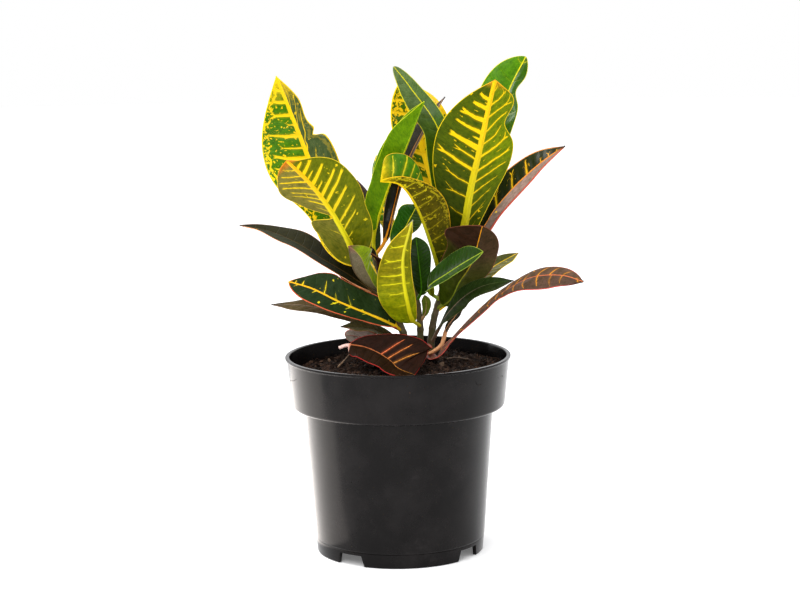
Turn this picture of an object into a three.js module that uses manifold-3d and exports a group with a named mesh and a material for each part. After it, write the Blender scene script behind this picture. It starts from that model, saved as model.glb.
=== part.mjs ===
// Potted croton: a black plastic nursery pot of potting soil, with three rooted cuttings whose
// broad, waved and folded leaves grow in a spiral round each stem, and one old leaf on the soil.
// Millimetres, +Z up, origin on the pot's axis in the plane that its feet stand on.
import * as THREE from 'three';
import { mergeVertices } from 'three/addons/utils/BufferGeometryUtils.js';
import Module from 'manifold-3d';

const wasm = await Module();
wasm.setup();

// ---- driving dimensions ----------------------------------------------------------------
const POT_HEIGHT = 122.8;
const RIM_RADIUS = 70;             // outer radius at the lip
const COLLAR_RADIUS = 66;          // outer radius at the collar's lower edge
const COLLAR_HEIGHT = 31.5;
const BODY_TOP_RADIUS = 58.8;      // under the collar
const FOOT_RADIUS = 52;
const POT_WALL = 1.6;
const LIP_HEIGHT = 1.6;
const FLOOR_UNDERSIDE = 8;         // the floor plate hangs above the feet
const FLOOR_THICKNESS = 1.8;
const POT_SIDES = 56;

const NOTCH_COUNT = 4;             // gaps between the four feet
const NOTCH_TURN = 9;              // degrees that the first notch lies beyond the diagonal
const NOTCH_WIDTH = 20;
const NOTCH_HEIGHT = 7;
const NOTCH_SLANT = 2;             // how far each side of a notch leans in at its top
const DRAIN_COUNT = 8;
const DRAIN_RADIUS = 3;
const DRAIN_CIRCLE = 36;

const CLEARANCE = 0.3;             // between pieces that touch
const SOIL_DROP = 10.5;            // from the rim down to the soil at the wall
const SOIL_MOUND = 6;              // the soil rises towards the stems
const SOIL_LUMP = 0.7;
const SOIL_RINGS = 5;

const STEM_SIDES = 8;
const STEM_BOTTOM = 88;            // height of the cut end of each stem, in the soil

const BLADE_STEPS = 12;            // stations along a blade
const BLADE_THICKNESS = 0.7;
const ACROSS = [-1, -0.5, 0, 0.5, 1];
const STALK_HALF_WIDTH = 1.1;
const VEIN_SLANT = 35;             // degrees that most leaves' side veins lean to the tip
const RIB_AT_BASE = 1.3;           // how far the midrib stands out under the blade
const RIB_AT_TIP = 0.2;

// A stem: its centreline from the soil to its growing tip, and its radius at both.
const STEMS = {
  left: { line: [[8, -1, 116], [3, -1, 138], [-6, 0, 160], [-14, 1, 184]], radius: [2.6, 1.8] },
  middle: { line: [[13, 6, 116], [14, 4, 140], [11, 4, 165], [6, 4, 190]], radius: [2.4, 1.6] },
  right: { line: [[20, 12, 116], [22, 9, 140], [28, 7, 162], [33, 6, 184]], radius: [2.6, 1.8] },
};

// A leaf: the stem and the height it grows from, then the points its midrib passes, to the tip.
//   halves   greatest width of the blade on its left and right, seen with the tip up
//   outline  exponents of the margin's curve at the base and at the tip, small is blunt: one
//            row for both halves, or one for each
//   face     where the upper side looks, at the base and (second row) at the tip
//   fold     degrees that the left and right half stand up from flat
//   cup      how far the margins bend up, or down if negative
//   wave     waves along the margin, their height, and where the first one starts
//   stalk    length of the bare stalk, and (second number) half its width where it is broad
//   cuts     [side, place along the blade, depth, spread] of each notch; negative depth is a lobe
//   slant    degrees that the side veins lean to the tip, where that isn't VEIN_SLANT
const LEAVES = [
  { name: 'left_leaf_01', stem: 'left', height: 174, halves: [29, 18.5], outline: [[0.95, 1]],
    midrib: [[-29, 9, 187], [-46, 16, 224], [-60, 21, 260], [-73, 22, 294.7]],
    face: [[0.1, -1, 0.25]], fold: [5, 12], cup: 0, wave: [2, 1, 0.1], stalk: [10],
    cuts: [[-1, 0.27, 0.38, 0.13], [1, 0.745, 0.4, 0.09], [1, 0.665, 0.35, 0.018]], slant: 22 },
  { name: 'left_leaf_02', stem: 'left', height: 166, halves: [28, 22],
    outline: [[0.8, 0.95], [0.5, 0.4]],
    midrib: [[-23.5, -14, 185], [-31, -24, 201], [-40, -30, 218], [-51.5, -34, 234],
      [-64.6, -36, 247.7]],
    face: [[0.05, 1, 0.3]], fold: [6, 10], cup: -2, wave: [2, 1.2, 0.4], stalk: [26],
    cuts: [[1, 0.44, 0.93, 0.045], [1, 0.5, 0.35, 0.13]] },
  { name: 'left_leaf_03', stem: 'left', height: 180, halves: [17, 16], outline: [[0.75, 0.95]],
    midrib: [[-14, -3, 198], [-5, -7, 227], [6, -8, 251], [18, -8, 280]],
    face: [[-1, 0.1, 0.3]], fold: [70, 70], cup: 0, wave: [2, 0.6, 0], stalk: [20], cuts: [] },
  { name: 'left_leaf_04', stem: 'left', height: 184, halves: [9, 8], outline: [[0.8, 1]],
    midrib: [[-6, 5, 196], [4, 11, 232], [15, 14, 256], [31, 15, 281]],
    face: [[-0.2, -1, 0.2]], fold: [10, 65], cup: 0, wave: [2, 0.6, 0], stalk: [10], cuts: [] },
  { name: 'left_leaf_05', stem: 'left', height: 177, halves: [6, 6], outline: [[0.8, 0.9]],
    midrib: [[-13, 9, 192], [-16, 17, 208], [-24, 26, 229]],
    face: [[0.1, -1, 0.3]], fold: [15, 15], cup: 0, wave: [2, 0.6, 0], stalk: [8], cuts: [] },
  { name: 'left_leaf_06', stem: 'left', height: 158, halves: [9, 17],
    outline: [[2, 0.8], [1.3, 0.8]],
    midrib: [[-14, -15, 167], [-21, -24, 173.5], [-26, -30, 182], [-28.5, -37, 196]],
    face: [[0.5, -0.8, 0.2]], fold: [110, 5], cup: 0, wave: [2, 0.6, 0], stalk: [8], cuts: [], slant: 14 },
  { name: 'left_leaf_07', stem: 'left', height: 176, halves: [6, 6], outline: [[0.8, 0.9]],
    midrib: [[-12, -6, 184], [-18, -8, 189], [-25, -9, 191]],
    face: [[0.1, -0.4, 1]], fold: [20, 20], cup: 0, wave: [2, 0.4, 0], stalk: [6], cuts: [] },
  { name: 'left_leaf_08', stem: 'left', height: 154, halves: [11, 12], outline: [[0.8, 0.95]],
    midrib: [[-30, 14, 171], [-45, 26, 178.5], [-63, 52, 186], [-82, 78, 190.5], [-103.2, 99, 192.5]],
    face: [[0.1, -0.5, 1]], fold: [15, 15], cup: 0, wave: [2, 0.8, 0.2], stalk: [14], cuts: [] },
  { name: 'left_leaf_09', stem: 'left', height: 138, halves: [12, 19],
    outline: [[1.1, 0.8], [0.6, 0.8]],
    midrib: [[-8, -12, 146], [-18, -12, 150.5], [-35, -10, 157.5], [-52, 0, 164.5], [-67.5, 12, 167.5]],
    face: [[0.15, -0.75, 0.65]], fold: [5, 5], cup: 0, wave: [2, 0.8, 0], stalk: [5], cuts: [] },
  { name: 'left_leaf_10', stem: 'left', height: 142, halves: [9, 9], outline: [[0.8, 0.9]],
    midrib: [[-14, 8, 142], [-33, 15, 146], [-58, 26, 150], [-80, 38, 149]],
    face: [[0, -0.4, 1]], fold: [10, 10], cup: -1, wave: [2, 0.6, 0], stalk: [12], cuts: [] },
  { name: 'left_leaf_11', stem: 'left', height: 127, halves: [8, 8], outline: [[0.8, 1]],
    midrib: [[-5, -2, 134], [-17, -5, 140], [-35, -10, 142.5]],
    face: [[0, -0.4, 1]], fold: [10, 10], cup: 0, wave: [2, 0.5, 0], stalk: [7], cuts: [] },
  { name: 'left_leaf_12', stem: 'left', height: 122, halves: [8, 8], outline: [[0.7, 0.5]],
    midrib: [[-8, 4, 129], [-20, 5, 133], [-33, 6, 135]],
    face: [[0, 0.8, 0.7]], fold: [5, 5], cup: -1, wave: [2, 0.4, 0], stalk: [8], cuts: [] },
  { name: 'left_leaf_13', stem: 'left', height: 168, halves: [17, 17], outline: [[0.8, 0.8]],
    midrib: [[-20, 22, 182], [-38, 46, 210], [-54, 62, 234]],
    face: [[0.6, -0.7, 0.5]], fold: [10, 10], cup: -1, wave: [2, 1, 0], stalk: [12], cuts: [] },
  { name: 'left_leaf_14', stem: 'left', height: 148, halves: [13, 13], outline: [[0.8, 0.8]],
    midrib: [[-16, 20, 158], [-36, 50, 172], [-50, 80, 176]],
    face: [[0.3, -0.5, 1]], fold: [10, 10], cup: -1, wave: [2, 1, 0], stalk: [12], cuts: [] },

  { name: 'middle_leaf_01', stem: 'middle', height: 140, halves: [6, 18],
    outline: [[0.5, 0.8], [0.5, 1.05]], slant: 12,
    midrib: [[9, -12, 147], [6.5, -22, 158], [4.3, -27, 172.5], [4.1, -31, 188.5], [8.3, -34, 205.5],
      [10, -34, 211]],
    face: [[0.1, 1, 0.1]], fold: [25, 10], cup: 0, wave: [3, 0.8, 0], stalk: [14], cuts: [] },
  { name: 'middle_leaf_02', stem: 'middle', height: 184, halves: [10, 9], outline: [[0.7, 0.55]],
    midrib: [[2, 0, 194], [7, -1, 205], [13, -2, 216]],
    face: [[0.1, -1, 0.3]], fold: [10, 10], cup: 0, wave: [2, 0.5, 0], stalk: [5], cuts: [] },
  { name: 'middle_leaf_03', stem: 'middle', height: 156, halves: [8, 9], outline: [[0.7, 0.6]],
    midrib: [[15, -3, 164], [14, -6, 178], [12, -7, 197]],
    face: [[0, -1, 0.2]], fold: [10, 10], cup: 0, wave: [2, 0.5, 0], stalk: [6], cuts: [] },
  { name: 'middle_leaf_04', stem: 'middle', height: 142, halves: [3.5, 3.5], outline: [[0.8, 0.8]],
    midrib: [[17, 1, 148], [18, 0, 154], [17, 0, 160]],
    face: [[0, -1, 0.3]], fold: [10, 10], cup: 0, wave: [2, 0.3, 0], stalk: [5], cuts: [] },
  { name: 'middle_leaf_05', stem: 'middle', height: 184, halves: [14, 14], outline: [[0.8, 0.8]],
    midrib: [[-1, 14, 196], [-9, 34, 216], [-12, 50, 242]],
    face: [[-1, -0.3, 0.3]], fold: [10, 10], cup: -1, wave: [2, 1, 0], stalk: [12], cuts: [] },
  { name: 'middle_leaf_06', stem: 'middle', height: 150, halves: [14, 14], outline: [[0.8, 0.8]],
    midrib: [[4, 26, 160], [-8, 54, 170], [-16, 82, 170]],
    face: [[0, -0.4, 1]], fold: [10, 10], cup: -1, wave: [2, 1, 0], stalk: [12], cuts: [] },

  { name: 'right_leaf_01', stem: 'right', height: 176, halves: [21, 29],
    outline: [[1.35, 0.95], [1.35, 1]], slant: 18,
    midrib: [[40, -5, 196], [46, -14, 229], [51, -19, 251], [56, -23, 275], [60.3, -25, 293.5]],
    face: [[-0.1, 1, 0.2]], fold: [6, 6], cup: -1, wave: [2, 1.2, 0.3], stalk: [8],
    cuts: [[-1, 0.765, 0.3, 0.07], [-1, 0.97, -0.95, 0.09]] },
  { name: 'right_leaf_02', stem: 'right', height: 180, halves: [20, 11], outline: [[0.9, 0.6]],
    midrib: [[41, 12, 195], [53, 22, 229], [65, 28, 265], [72, 31, 285], [82, 33, 304]],
    face: [[-0.1, -1, 0.3]], fold: [8, 8], cup: -1, wave: [2, 1, 0], stalk: [10],
    cuts: [[1, 0.82, 0.5, 0.07]] },
  { name: 'right_leaf_03', stem: 'right', height: 183, halves: [17, 25], outline: [[0.8, 0.75]],
    midrib: [[31, 14, 196], [24, 20, 223], [16, 27, 250], [7, 31, 278], [4, 32, 290]],
    face: [[0, -1, 0.2]], fold: [8, 8], cup: 0, wave: [2, 1, 0], stalk: [10], cuts: [] },
  { name: 'right_leaf_04', stem: 'right', height: 182, halves: [12, 7],
    outline: [[0.7, 0.6], [0.7, 0.5]],
    midrib: [[31, 4, 203], [29, 6, 239], [26, 7, 263], [10, 6, 287], [-0.3, 4, 300.5]],
    face: [[0.1, -0.9, 0.4]], fold: [10, 20], cup: 0, wave: [2, 0.8, 0], stalk: [10], cuts: [] },
  { name: 'right_leaf_05', stem: 'right', height: 164, halves: [23, 20],
    outline: [[0.45, 0.5], [0.6, 0.35]],
    midrib: [[22, -7, 190], [13, -17, 216], [3, -25, 231], [-9, -30, 234]],
    face: [[1, -0.2, 0.5], [1, -0.2, 1]], fold: [62, 50], cup: 0, wave: [2, 0.8, 0], stalk: [10],
    cuts: [[1, 0.3, 0.85, 0.38], [1, 0.85, -0.25, 0.2], [-1, 0.95, 0.6, 0.2]] },
  { name: 'right_leaf_06', stem: 'right', height: 150, halves: [15, 24], outline: [[0.8, 0.5]],
    midrib: [[33, -3, 158], [38, -9, 169], [46, -17, 183], [52, -25, 205.5]],
    face: [[0, 1, 0.3]], fold: [8, 8], cup: -1.5, wave: [3, 0.8, 0], stalk: [6], cuts: [] },
  { name: 'right_leaf_07', stem: 'right', height: 156, halves: [11, 5], outline: [[1.1, 0.7]],
    midrib: [[19, -17, 167], [32, -30, 178.5], [41.6, -39, 186], [51.5, -46, 192.7]],
    face: [[-0.25, -0.8, 0.5]], fold: [8, 8], cup: 0, wave: [2, 0.5, 0], stalk: [10], cuts: [] },
  { name: 'right_leaf_08', stem: 'right', height: 148, halves: [10, 10], outline: [[0.8, 0.9]],
    midrib: [[42, 12, 161], [60, 26, 172.5], [77, 38, 180]],
    face: [[-0.3, -0.5, 0.8]], fold: [10, 10], cup: 0, wave: [2, 0.5, 0], stalk: [10], cuts: [] },
  { name: 'right_leaf_09', stem: 'right', height: 128, halves: [9, 11], outline: [[0.9, 1]],
    midrib: [[29, -10, 147], [40, -21, 161], [53, -31, 170], [70, -38, 174]],
    face: [[0, -0.65, 0.75]], fold: [12, 12], cup: -1, wave: [2, 0.5, 0], stalk: [16], cuts: [] },
  { name: 'right_leaf_10', stem: 'right', height: 122, halves: [6, 7], outline: [[0.8, 0.9]],
    midrib: [[20, 0, 123.5], [26.8, -4, 129], [30, -3.5, 138.4], [36.8, -3, 147.7], [44.5, -4, 157]],
    face: [[-0.5, -0.3, 0.8]], fold: [12, 12], cup: 0, wave: [2, 0.5, 0], stalk: [30, 1.6], cuts: [] },
  { name: 'right_leaf_11', stem: 'right', height: 120, halves: [9, 17], outline: [[2.2, 0.8]],
    midrib: [[23.4, -14, 123], [31.3, -20, 133.3], [41.5, -30, 146.6], [54.3, -45, 160.7],
      [66.2, -60, 172.4], [79.5, -75, 181.3], [95.2, -88, 184], [106.7, -99, 182]],
    face: [[-0.1, -0.5, 0.85]], fold: [12, 8], cup: -1, wave: [2, 0.6, 0], stalk: [10, 3], cuts: [] },
  { name: 'right_leaf_12', stem: 'right', height: 170, halves: [18, 8],
    outline: [[1, 1], [0.7, 0.9]],
    midrib: [[43, 5, 182], [56, 4, 197.5], [65, 2, 210.5], [82, 0, 229], [91.5, 0, 239.5], [104, 1, 251]],
    face: [[-0.3, -0.9, 0.4]], fold: [8, 115], cup: 0, wave: [2, 1, 0], stalk: [10], cuts: [] },
  { name: 'right_leaf_13', stem: 'right', height: 174, halves: [16, 16], outline: [[0.8, 0.8]],
    midrib: [[37, 26, 190], [47, 48, 222], [55, 64, 248]],
    face: [[-0.5, -0.7, 0.5]], fold: [10, 10], cup: -1, wave: [2, 1, 0], stalk: [12], cuts: [] },
  { name: 'right_leaf_14', stem: 'right', height: 152, halves: [12, 12], outline: [[0.8, 0.8]],
    midrib: [[38, 30, 166], [50, 54, 180], [58, 80, 184]],
    face: [[-0.3, -0.5, 1]], fold: [10, 10], cup: -1, wave: [2, 1, 0], stalk: [12], cuts: [] },
];

// The old leaf lies with its tip and one margin on the soil and leans back on the stems.
const FALLEN_LEAF = {
  name: 'fallen_leaf', halves: [26, 13], outline: [[1, 0.32], [0.3, 0.5]],
  midrib: [[-36, -17, 130.5], [-30, -17.5, 132.3], [-21.5, -19, 131.5], [-13, -24, 129],
    [-4.8, -31, 124.8], [0.5, -36, 120.6], [10, -41.5, 117.7]],
  face: [[0, -0.82, 0.57], [-0.1, -0.45, 0.9]], fold: [8, 20], cup: 0, wave: [2, 0.6, 0],
  stalk: [6], cuts: [], slant: 14,
};

const radians = THREE.MathUtils.degToRad;

// ---- solids ----------------------------------------------------------------------------

// Merges shared vertices and hands the mesh over for adding and subtracting.
function toSolid(geometry) {
  const bare = geometry.clone();
  bare.deleteAttribute('normal');
  bare.deleteAttribute('uv');
  const merged = mergeVertices(bare, 1e-5);
  return new wasm.Manifold(new wasm.Mesh({
    numProp: 3,
    vertProperties: new Float32Array(merged.attributes.position.array),
    triVerts: new Uint32Array(merged.index.array),
  }));
}

function toGeometry(solid) {
  const mesh = solid.getMesh();
  const geometry = new THREE.BufferGeometry();
  geometry.setAttribute('position', new THREE.BufferAttribute(mesh.vertProperties, 3));
  geometry.setIndex(new THREE.BufferAttribute(mesh.triVerts, 1));
  geometry.computeVertexNormals();
  return geometry;
}

// A closed skin over rings of equally many points, each ring counter-clockwise seen from its
// far side, with a flat fan over the first and the last. Strips from number `turned` on are
// split along their other diagonal.
function loft(rings, turned = Infinity) {
  const count = rings[0].length;
  const positions = rings.flat().flatMap((point) => point.toArray());
  const index = [];
  for (let i = 0; i + 1 < rings.length; i += 1) {
    for (let j = 0; j < count; j += 1) {
      const a = i * count + j;
      const b = i * count + ((j + 1) % count);
      if (j < turned) {
        index.push(a, b, b + count, a, b + count, a + count);
      } else {
        index.push(a, b, a + count, b, b + count, a + count);
      }
    }
  }
  const last = (rings.length - 1) * count;
  for (let j = 1; j + 1 < count; j += 1) {
    index.push(0, j + 1, j);
    index.push(last, last + j, last + j + 1);
  }
  const geometry = new THREE.BufferGeometry();
  geometry.setAttribute('position', new THREE.Float32BufferAttribute(positions, 3));
  geometry.setIndex(index);
  geometry.computeVertexNormals();
  return geometry;
}

// ---- pot -------------------------------------------------------------------------------

const collarBottom = POT_HEIGHT - COLLAR_HEIGHT;
const floorTop = FLOOR_UNDERSIDE + FLOOR_THICKNESS;
const soilEdge = POT_HEIGHT - SOIL_DROP;

// Outer radius of the pot's tapered body, and inner radius of its collar, at a height.
const bodyRadius = (z) => THREE.MathUtils.mapLinear(z, 0, collarBottom, FOOT_RADIUS, BODY_TOP_RADIUS);
const collarInside = (z) => THREE.MathUtils.mapLinear(
  z, collarBottom, POT_HEIGHT, COLLAR_RADIUS - POT_WALL, RIM_RADIUS - 1 - POT_WALL);

function potShell() {
  const shelf = collarBottom + POT_WALL;
  const profile = [
    [0, FLOOR_UNDERSIDE],
    [FOOT_RADIUS - POT_WALL - 0.4, FLOOR_UNDERSIDE],
    [FOOT_RADIUS - POT_WALL - 1, 0],
    [FOOT_RADIUS - 1, 0],
    [FOOT_RADIUS, 1.2],
    [bodyRadius(collarBottom - 0.6), collarBottom - 0.6],
    [BODY_TOP_RADIUS + 0.8, collarBottom],
    [COLLAR_RADIUS - 1.6, collarBottom],
    [COLLAR_RADIUS, collarBottom + 2.2],
    [RIM_RADIUS - 0.9, POT_HEIGHT - LIP_HEIGHT],
    [RIM_RADIUS, POT_HEIGHT - LIP_HEIGHT * 0.6],
    [RIM_RADIUS - 0.3, POT_HEIGHT],
    [collarInside(POT_HEIGHT), POT_HEIGHT],
    [collarInside(shelf), shelf],
    [bodyRadius(shelf) - POT_WALL, shelf],
    [bodyRadius(floorTop) - POT_WALL, floorTop],
    [0, floorTop],
  ].map(([radius, z]) => new THREE.Vector2(radius, z));
  return new THREE.LatheGeometry(profile, POT_SIDES).rotateX(Math.PI / 2);
}

// A wedge through the foot ring, wider at the ground than at its top.
function footNotch() {
  const half = NOTCH_WIDTH / 2;
  const shape = new THREE.Shape([
    new THREE.Vector2(-half, -1),
    new THREE.Vector2(half, -1),
    new THREE.Vector2(half - NOTCH_SLANT, NOTCH_HEIGHT),
    new THREE.Vector2(-half + NOTCH_SLANT, NOTCH_HEIGHT),
  ]);
  const depth = 14;
  const wedge = new THREE.ExtrudeGeometry(shape, { depth, bevelEnabled: false, steps: 1 });
  return wedge.rotateX(Math.PI / 2).translate(0, -(FOOT_RADIUS - depth / 2), 0);
}

function pot() {
  let solid = toSolid(potShell());
  for (let i = 0; i < NOTCH_COUNT; i += 1) {
    const turn = radians(45 + NOTCH_TURN + (i * 360) / NOTCH_COUNT);
    solid = solid.subtract(toSolid(footNotch().rotateZ(turn)));
  }
  const drain = new THREE.CylinderGeometry(DRAIN_RADIUS, DRAIN_RADIUS, FLOOR_THICKNESS * 3, 12);
  drain.rotateX(Math.PI / 2).translate(DRAIN_CIRCLE, 0, FLOOR_UNDERSIDE + FLOOR_THICKNESS / 2);
  for (let i = 0; i < DRAIN_COUNT; i += 1) {
    const turn = ((i + 0.5) * 2 * Math.PI) / DRAIN_COUNT;
    solid = solid.subtract(toSolid(drain.clone().rotateZ(turn)));
  }
  return toGeometry(solid);
}

// ---- soil ------------------------------------------------------------------------------

// Height of the soil's surface: a low mound round the stems, with soft lumps.
function soilHeight(x, y) {
  const middle = Math.hypot(x - 10, y) / RIM_RADIUS;
  const mound = SOIL_MOUND * Math.max(0, 1 - middle * middle);
  const lumps = Math.sin(x / 5.1 + 1) * Math.cos(y / 6.3) + Math.sin((x + y) / 8.7);
  return soilEdge + mound + SOIL_LUMP * lumps;
}

function soil() {
  const shelf = collarBottom + POT_WALL + CLEARANCE;
  const wall = [
    [bodyRadius(floorTop + CLEARANCE) - POT_WALL - CLEARANCE, floorTop + CLEARANCE],
    [bodyRadius(shelf) - POT_WALL - CLEARANCE, shelf],
    [collarInside(shelf) - CLEARANCE, shelf],
    [collarInside(soilEdge) - CLEARANCE, null],
  ];
  const edge = wall.at(-1)[0];
  const surface = [];
  for (let i = SOIL_RINGS - 1; i > 0; i -= 1) {
    surface.push([(edge * i) / SOIL_RINGS, null]);
  }
  const rings = [...wall, ...surface].map(([radius, z]) => {
    const ring = [];
    for (let j = 0; j < POT_SIDES; j += 1) {
      const turn = (j * 2 * Math.PI) / POT_SIDES;
      const x = radius * Math.sin(turn);
      const y = -radius * Math.cos(turn);
      ring.push(new THREE.Vector3(x, y, z ?? soilHeight(x, y)));
    }
    return ring;
  });
  let solid = toSolid(loft(rings));
  for (const stem of Object.values(STEMS)) {
    solid = solid.subtract(toSolid(stemTube(stem, CLEARANCE)));
  }
  return toGeometry(solid);
}

// ---- stems -----------------------------------------------------------------------------

const stemLine = (stem) => new THREE.CatmullRomCurve3(
  stem.line.map((point) => new THREE.Vector3(...point)), false, 'catmullrom', 0.5);

function disc(centre, radius) {
  const ring = [];
  for (let j = 0; j < STEM_SIDES; j += 1) {
    const turn = (j * 2 * Math.PI) / STEM_SIDES;
    const out = new THREE.Vector3(Math.cos(turn), Math.sin(turn), 0);
    ring.push(centre.clone().addScaledVector(out, radius));
  }
  return ring;
}

// The woody stem straight up out of the soil, thinning towards a blunt growing tip.
function stemTube(stem, grow = 0) {
  const line = stemLine(stem);
  const [thick, thin] = stem.radius;
  const foot = line.getPoint(0);
  const rings = [disc(foot.clone().setZ(STEM_BOTTOM - grow), thick + grow)];
  const steps = 7;
  for (let i = 0; i <= steps; i += 1) {
    rings.push(disc(line.getPoint(i / steps), THREE.MathUtils.lerp(thick, thin, i / steps) + grow));
  }
  const tip = line.getPoint(1);
  rings.push(disc(tip.clone().setZ(tip.z + 2 + grow), thin * 0.5 + grow));
  return loft(rings);
}

// Point on a stem's centreline at a height.
function stemAt(stem, height) {
  const line = stemLine(stem);
  let low = 0;
  let high = 1;
  while (high - low > 1e-4) {
    const half = (low + high) / 2;
    if (line.getPoint(half).z < height) {
      low = half;
    } else {
      high = half;
    }
  }
  return line.getPoint(low);
}

// ---- leaves ----------------------------------------------------------------------------

// Half width of one side of a blade at u, from 0 at its base to 1 at its tip.
function halfWidth(leaf, side, u) {
  const [base, tip] = leaf.outline.at(side < 0 ? 0 : -1);
  const peak = base / (base + tip);
  const widest = peak ** base * (1 - peak) ** tip;
  let width = (leaf.halves[side < 0 ? 0 : 1] * u ** base * (1 - u) ** tip) / widest;
  for (const [cutSide, place, depth, spread] of leaf.cuts) {
    if (cutSide === side) {
      width *= 1 - depth * Math.exp(-(((u - place) / spread) ** 2));
    }
  }
  return width;
}

// The leaf's middle surface: rows of five points from the stalk's foot to the tip.
function middleSurface(leaf, start) {
  const points = leaf.midrib.map((point) => new THREE.Vector3(...point));
  const line = new THREE.CatmullRomCurve3(start ? [start, ...points] : points, false, 'catmullrom', 0.5);
  const length = line.getLength();
  const [stalk, stalkHalf = STALK_HALF_WIDTH] = leaf.stalk;
  const bladeStart = stalk / length;
  const stations = [0, bladeStart * 0.5];
  for (let i = 0; i <= BLADE_STEPS; i += 1) {
    const u = 1 - (1 - i / BLADE_STEPS) ** 1.25;
    stations.push(bladeStart + (1 - bladeStart) * u);
  }
  const faces = leaf.face.map((face) => new THREE.Vector3(...face));
  return stations.map((place) => {
    const u = Math.max(0, (place - bladeStart) / (1 - bladeStart));
    const along = line.getTangentAt(place);
    const up = faces[0].clone().lerp(faces.at(-1), place);
    up.addScaledVector(along, -up.dot(along)).normalize();
    const across = along.clone().cross(up);
    const centre = line.getPointAt(place);
    const row = ACROSS.map((x) => {
      const side = Math.sign(x) || 1;
      const width = Math.max(stalkHalf * (1 - 0.7 * u), halfWidth(leaf, side, u));
      const reach = Math.abs(x) * width;
      const bend = radians(leaf.fold[side < 0 ? 0 : 1]) * Math.min(1, u * 8);
      const slant = radians(leaf.slant ?? VEIN_SLANT) * (1 - u ** 3) * Math.min(1, u * 4);
      const [count, height, phase] = leaf.wave;
      const ripple = height * Math.sin(2 * Math.PI * (count * u + phase + (side < 0 ? 0.35 : 0)));
      const rise = x * x * Math.min(1, width / 6) * (leaf.cup + ripple);
      return centre.clone()
        .addScaledVector(across, side * reach * Math.cos(slant) * Math.cos(bend))
        .addScaledVector(along, reach * Math.sin(slant))
        .addScaledVector(up, reach * Math.cos(slant) * Math.sin(bend) + rise);
    });
    return { row, up, u };
  });
}

// A closed leaf: its upper and under face are split along the same diagonals, so that the blade
// is equally thick everywhere.
function leafBlade(leaf, start) {
  const rows = middleSurface(leaf, start);
  const last = rows.length - 1;
  const middle = (ACROSS.length - 1) / 2;
  const rings = rows.map(({ row, up, u }, i) => {
    const before = rows[Math.max(0, i - 1)].row;
    const after = rows[Math.min(last, i + 1)].row;
    const upper = [];
    const under = [];
    row.forEach((point, j) => {
      const along = after[j].clone().sub(before[j]);
      const across = row[Math.min(j + 1, row.length - 1)].clone().sub(row[Math.max(j - 1, 0)]);
      const normal = across.cross(along).normalize();
      const thickness = BLADE_THICKNESS / 2;
      const rib = THREE.MathUtils.lerp(RIB_AT_BASE, RIB_AT_TIP, u);
      const spread = 1 / Math.max(0.4, Math.abs(normal.dot(up)));
      upper.push(point.clone().addScaledVector(normal, j === middle ? thickness * spread : thickness));
      under.push(point.clone().addScaledVector(normal, -(j === middle ? thickness + rib : thickness)));
    });
    return [...upper, ...under.reverse()];
  });
  return loft(rings, ACROSS.length - 1);
}

// ---- the plant in its pot --------------------------------------------------------------

const plastic = () => new THREE.MeshStandardMaterial({ color: 0x17171a, roughness: 0.42, metalness: 0 });
const peat = () => new THREE.MeshStandardMaterial({ color: 0x2a1b14, roughness: 0.95, metalness: 0 });
const bark = () => new THREE.MeshStandardMaterial({ color: 0x6b5a34, roughness: 0.8, metalness: 0 });
const leafSkin = () => new THREE.MeshStandardMaterial({ color: 0x4d7a17, roughness: 0.4, metalness: 0 });

const group = new THREE.Group();

function addPiece(name, geometry, material) {
  const mesh = new THREE.Mesh(geometry, material);
  mesh.name = name;
  group.add(mesh);
}

addPiece('pot', pot(), plastic());
addPiece('soil', soil(), peat());
for (const [name, stem] of Object.entries(STEMS)) {
  addPiece(`${name}_stem`, stemTube(stem), bark());
}
for (const leaf of LEAVES) {
  const stem = STEMS[leaf.stem];
  const blade = toSolid(leafBlade(leaf, stemAt(stem, leaf.height)));
  addPiece(leaf.name, toGeometry(blade.subtract(toSolid(stemTube(stem, CLEARANCE)))), leafSkin());
}
addPiece(FALLEN_LEAF.name, leafBlade(FALLEN_LEAF), leafSkin());

export default group;
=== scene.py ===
"""A potted croton: black nursery pot, peat, three stems and their variegated leaves.

The pieces are worked out in millimetres and scaled to metres as each mesh is made; the studio
and the geometry trees are in metres throughout.
"""
import math

import bmesh
import bpy
import numpy as np
from mathutils import Matrix, Vector, noise


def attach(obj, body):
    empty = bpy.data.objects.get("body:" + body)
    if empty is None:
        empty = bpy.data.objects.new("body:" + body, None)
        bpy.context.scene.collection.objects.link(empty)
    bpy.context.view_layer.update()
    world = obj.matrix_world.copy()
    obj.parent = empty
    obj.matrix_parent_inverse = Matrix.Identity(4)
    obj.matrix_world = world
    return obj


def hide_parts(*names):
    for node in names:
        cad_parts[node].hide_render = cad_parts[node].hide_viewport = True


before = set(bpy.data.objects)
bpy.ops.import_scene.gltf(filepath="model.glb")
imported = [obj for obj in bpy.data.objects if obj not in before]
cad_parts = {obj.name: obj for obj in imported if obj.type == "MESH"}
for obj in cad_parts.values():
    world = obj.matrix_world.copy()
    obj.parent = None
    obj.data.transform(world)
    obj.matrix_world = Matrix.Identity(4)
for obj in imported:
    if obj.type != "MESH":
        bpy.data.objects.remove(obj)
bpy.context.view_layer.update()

# ---- Studio ------------------------------------------------------------------------------
# A pale floor inside a white tent that is brightest overhead and behind, with two tall soft
# boxes behind the plant's shoulders, one above, a small one over the camera, and a light
# table on the floor at the left.
scene = bpy.context.scene
scene.view_settings.view_transform = "Standard"


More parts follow.
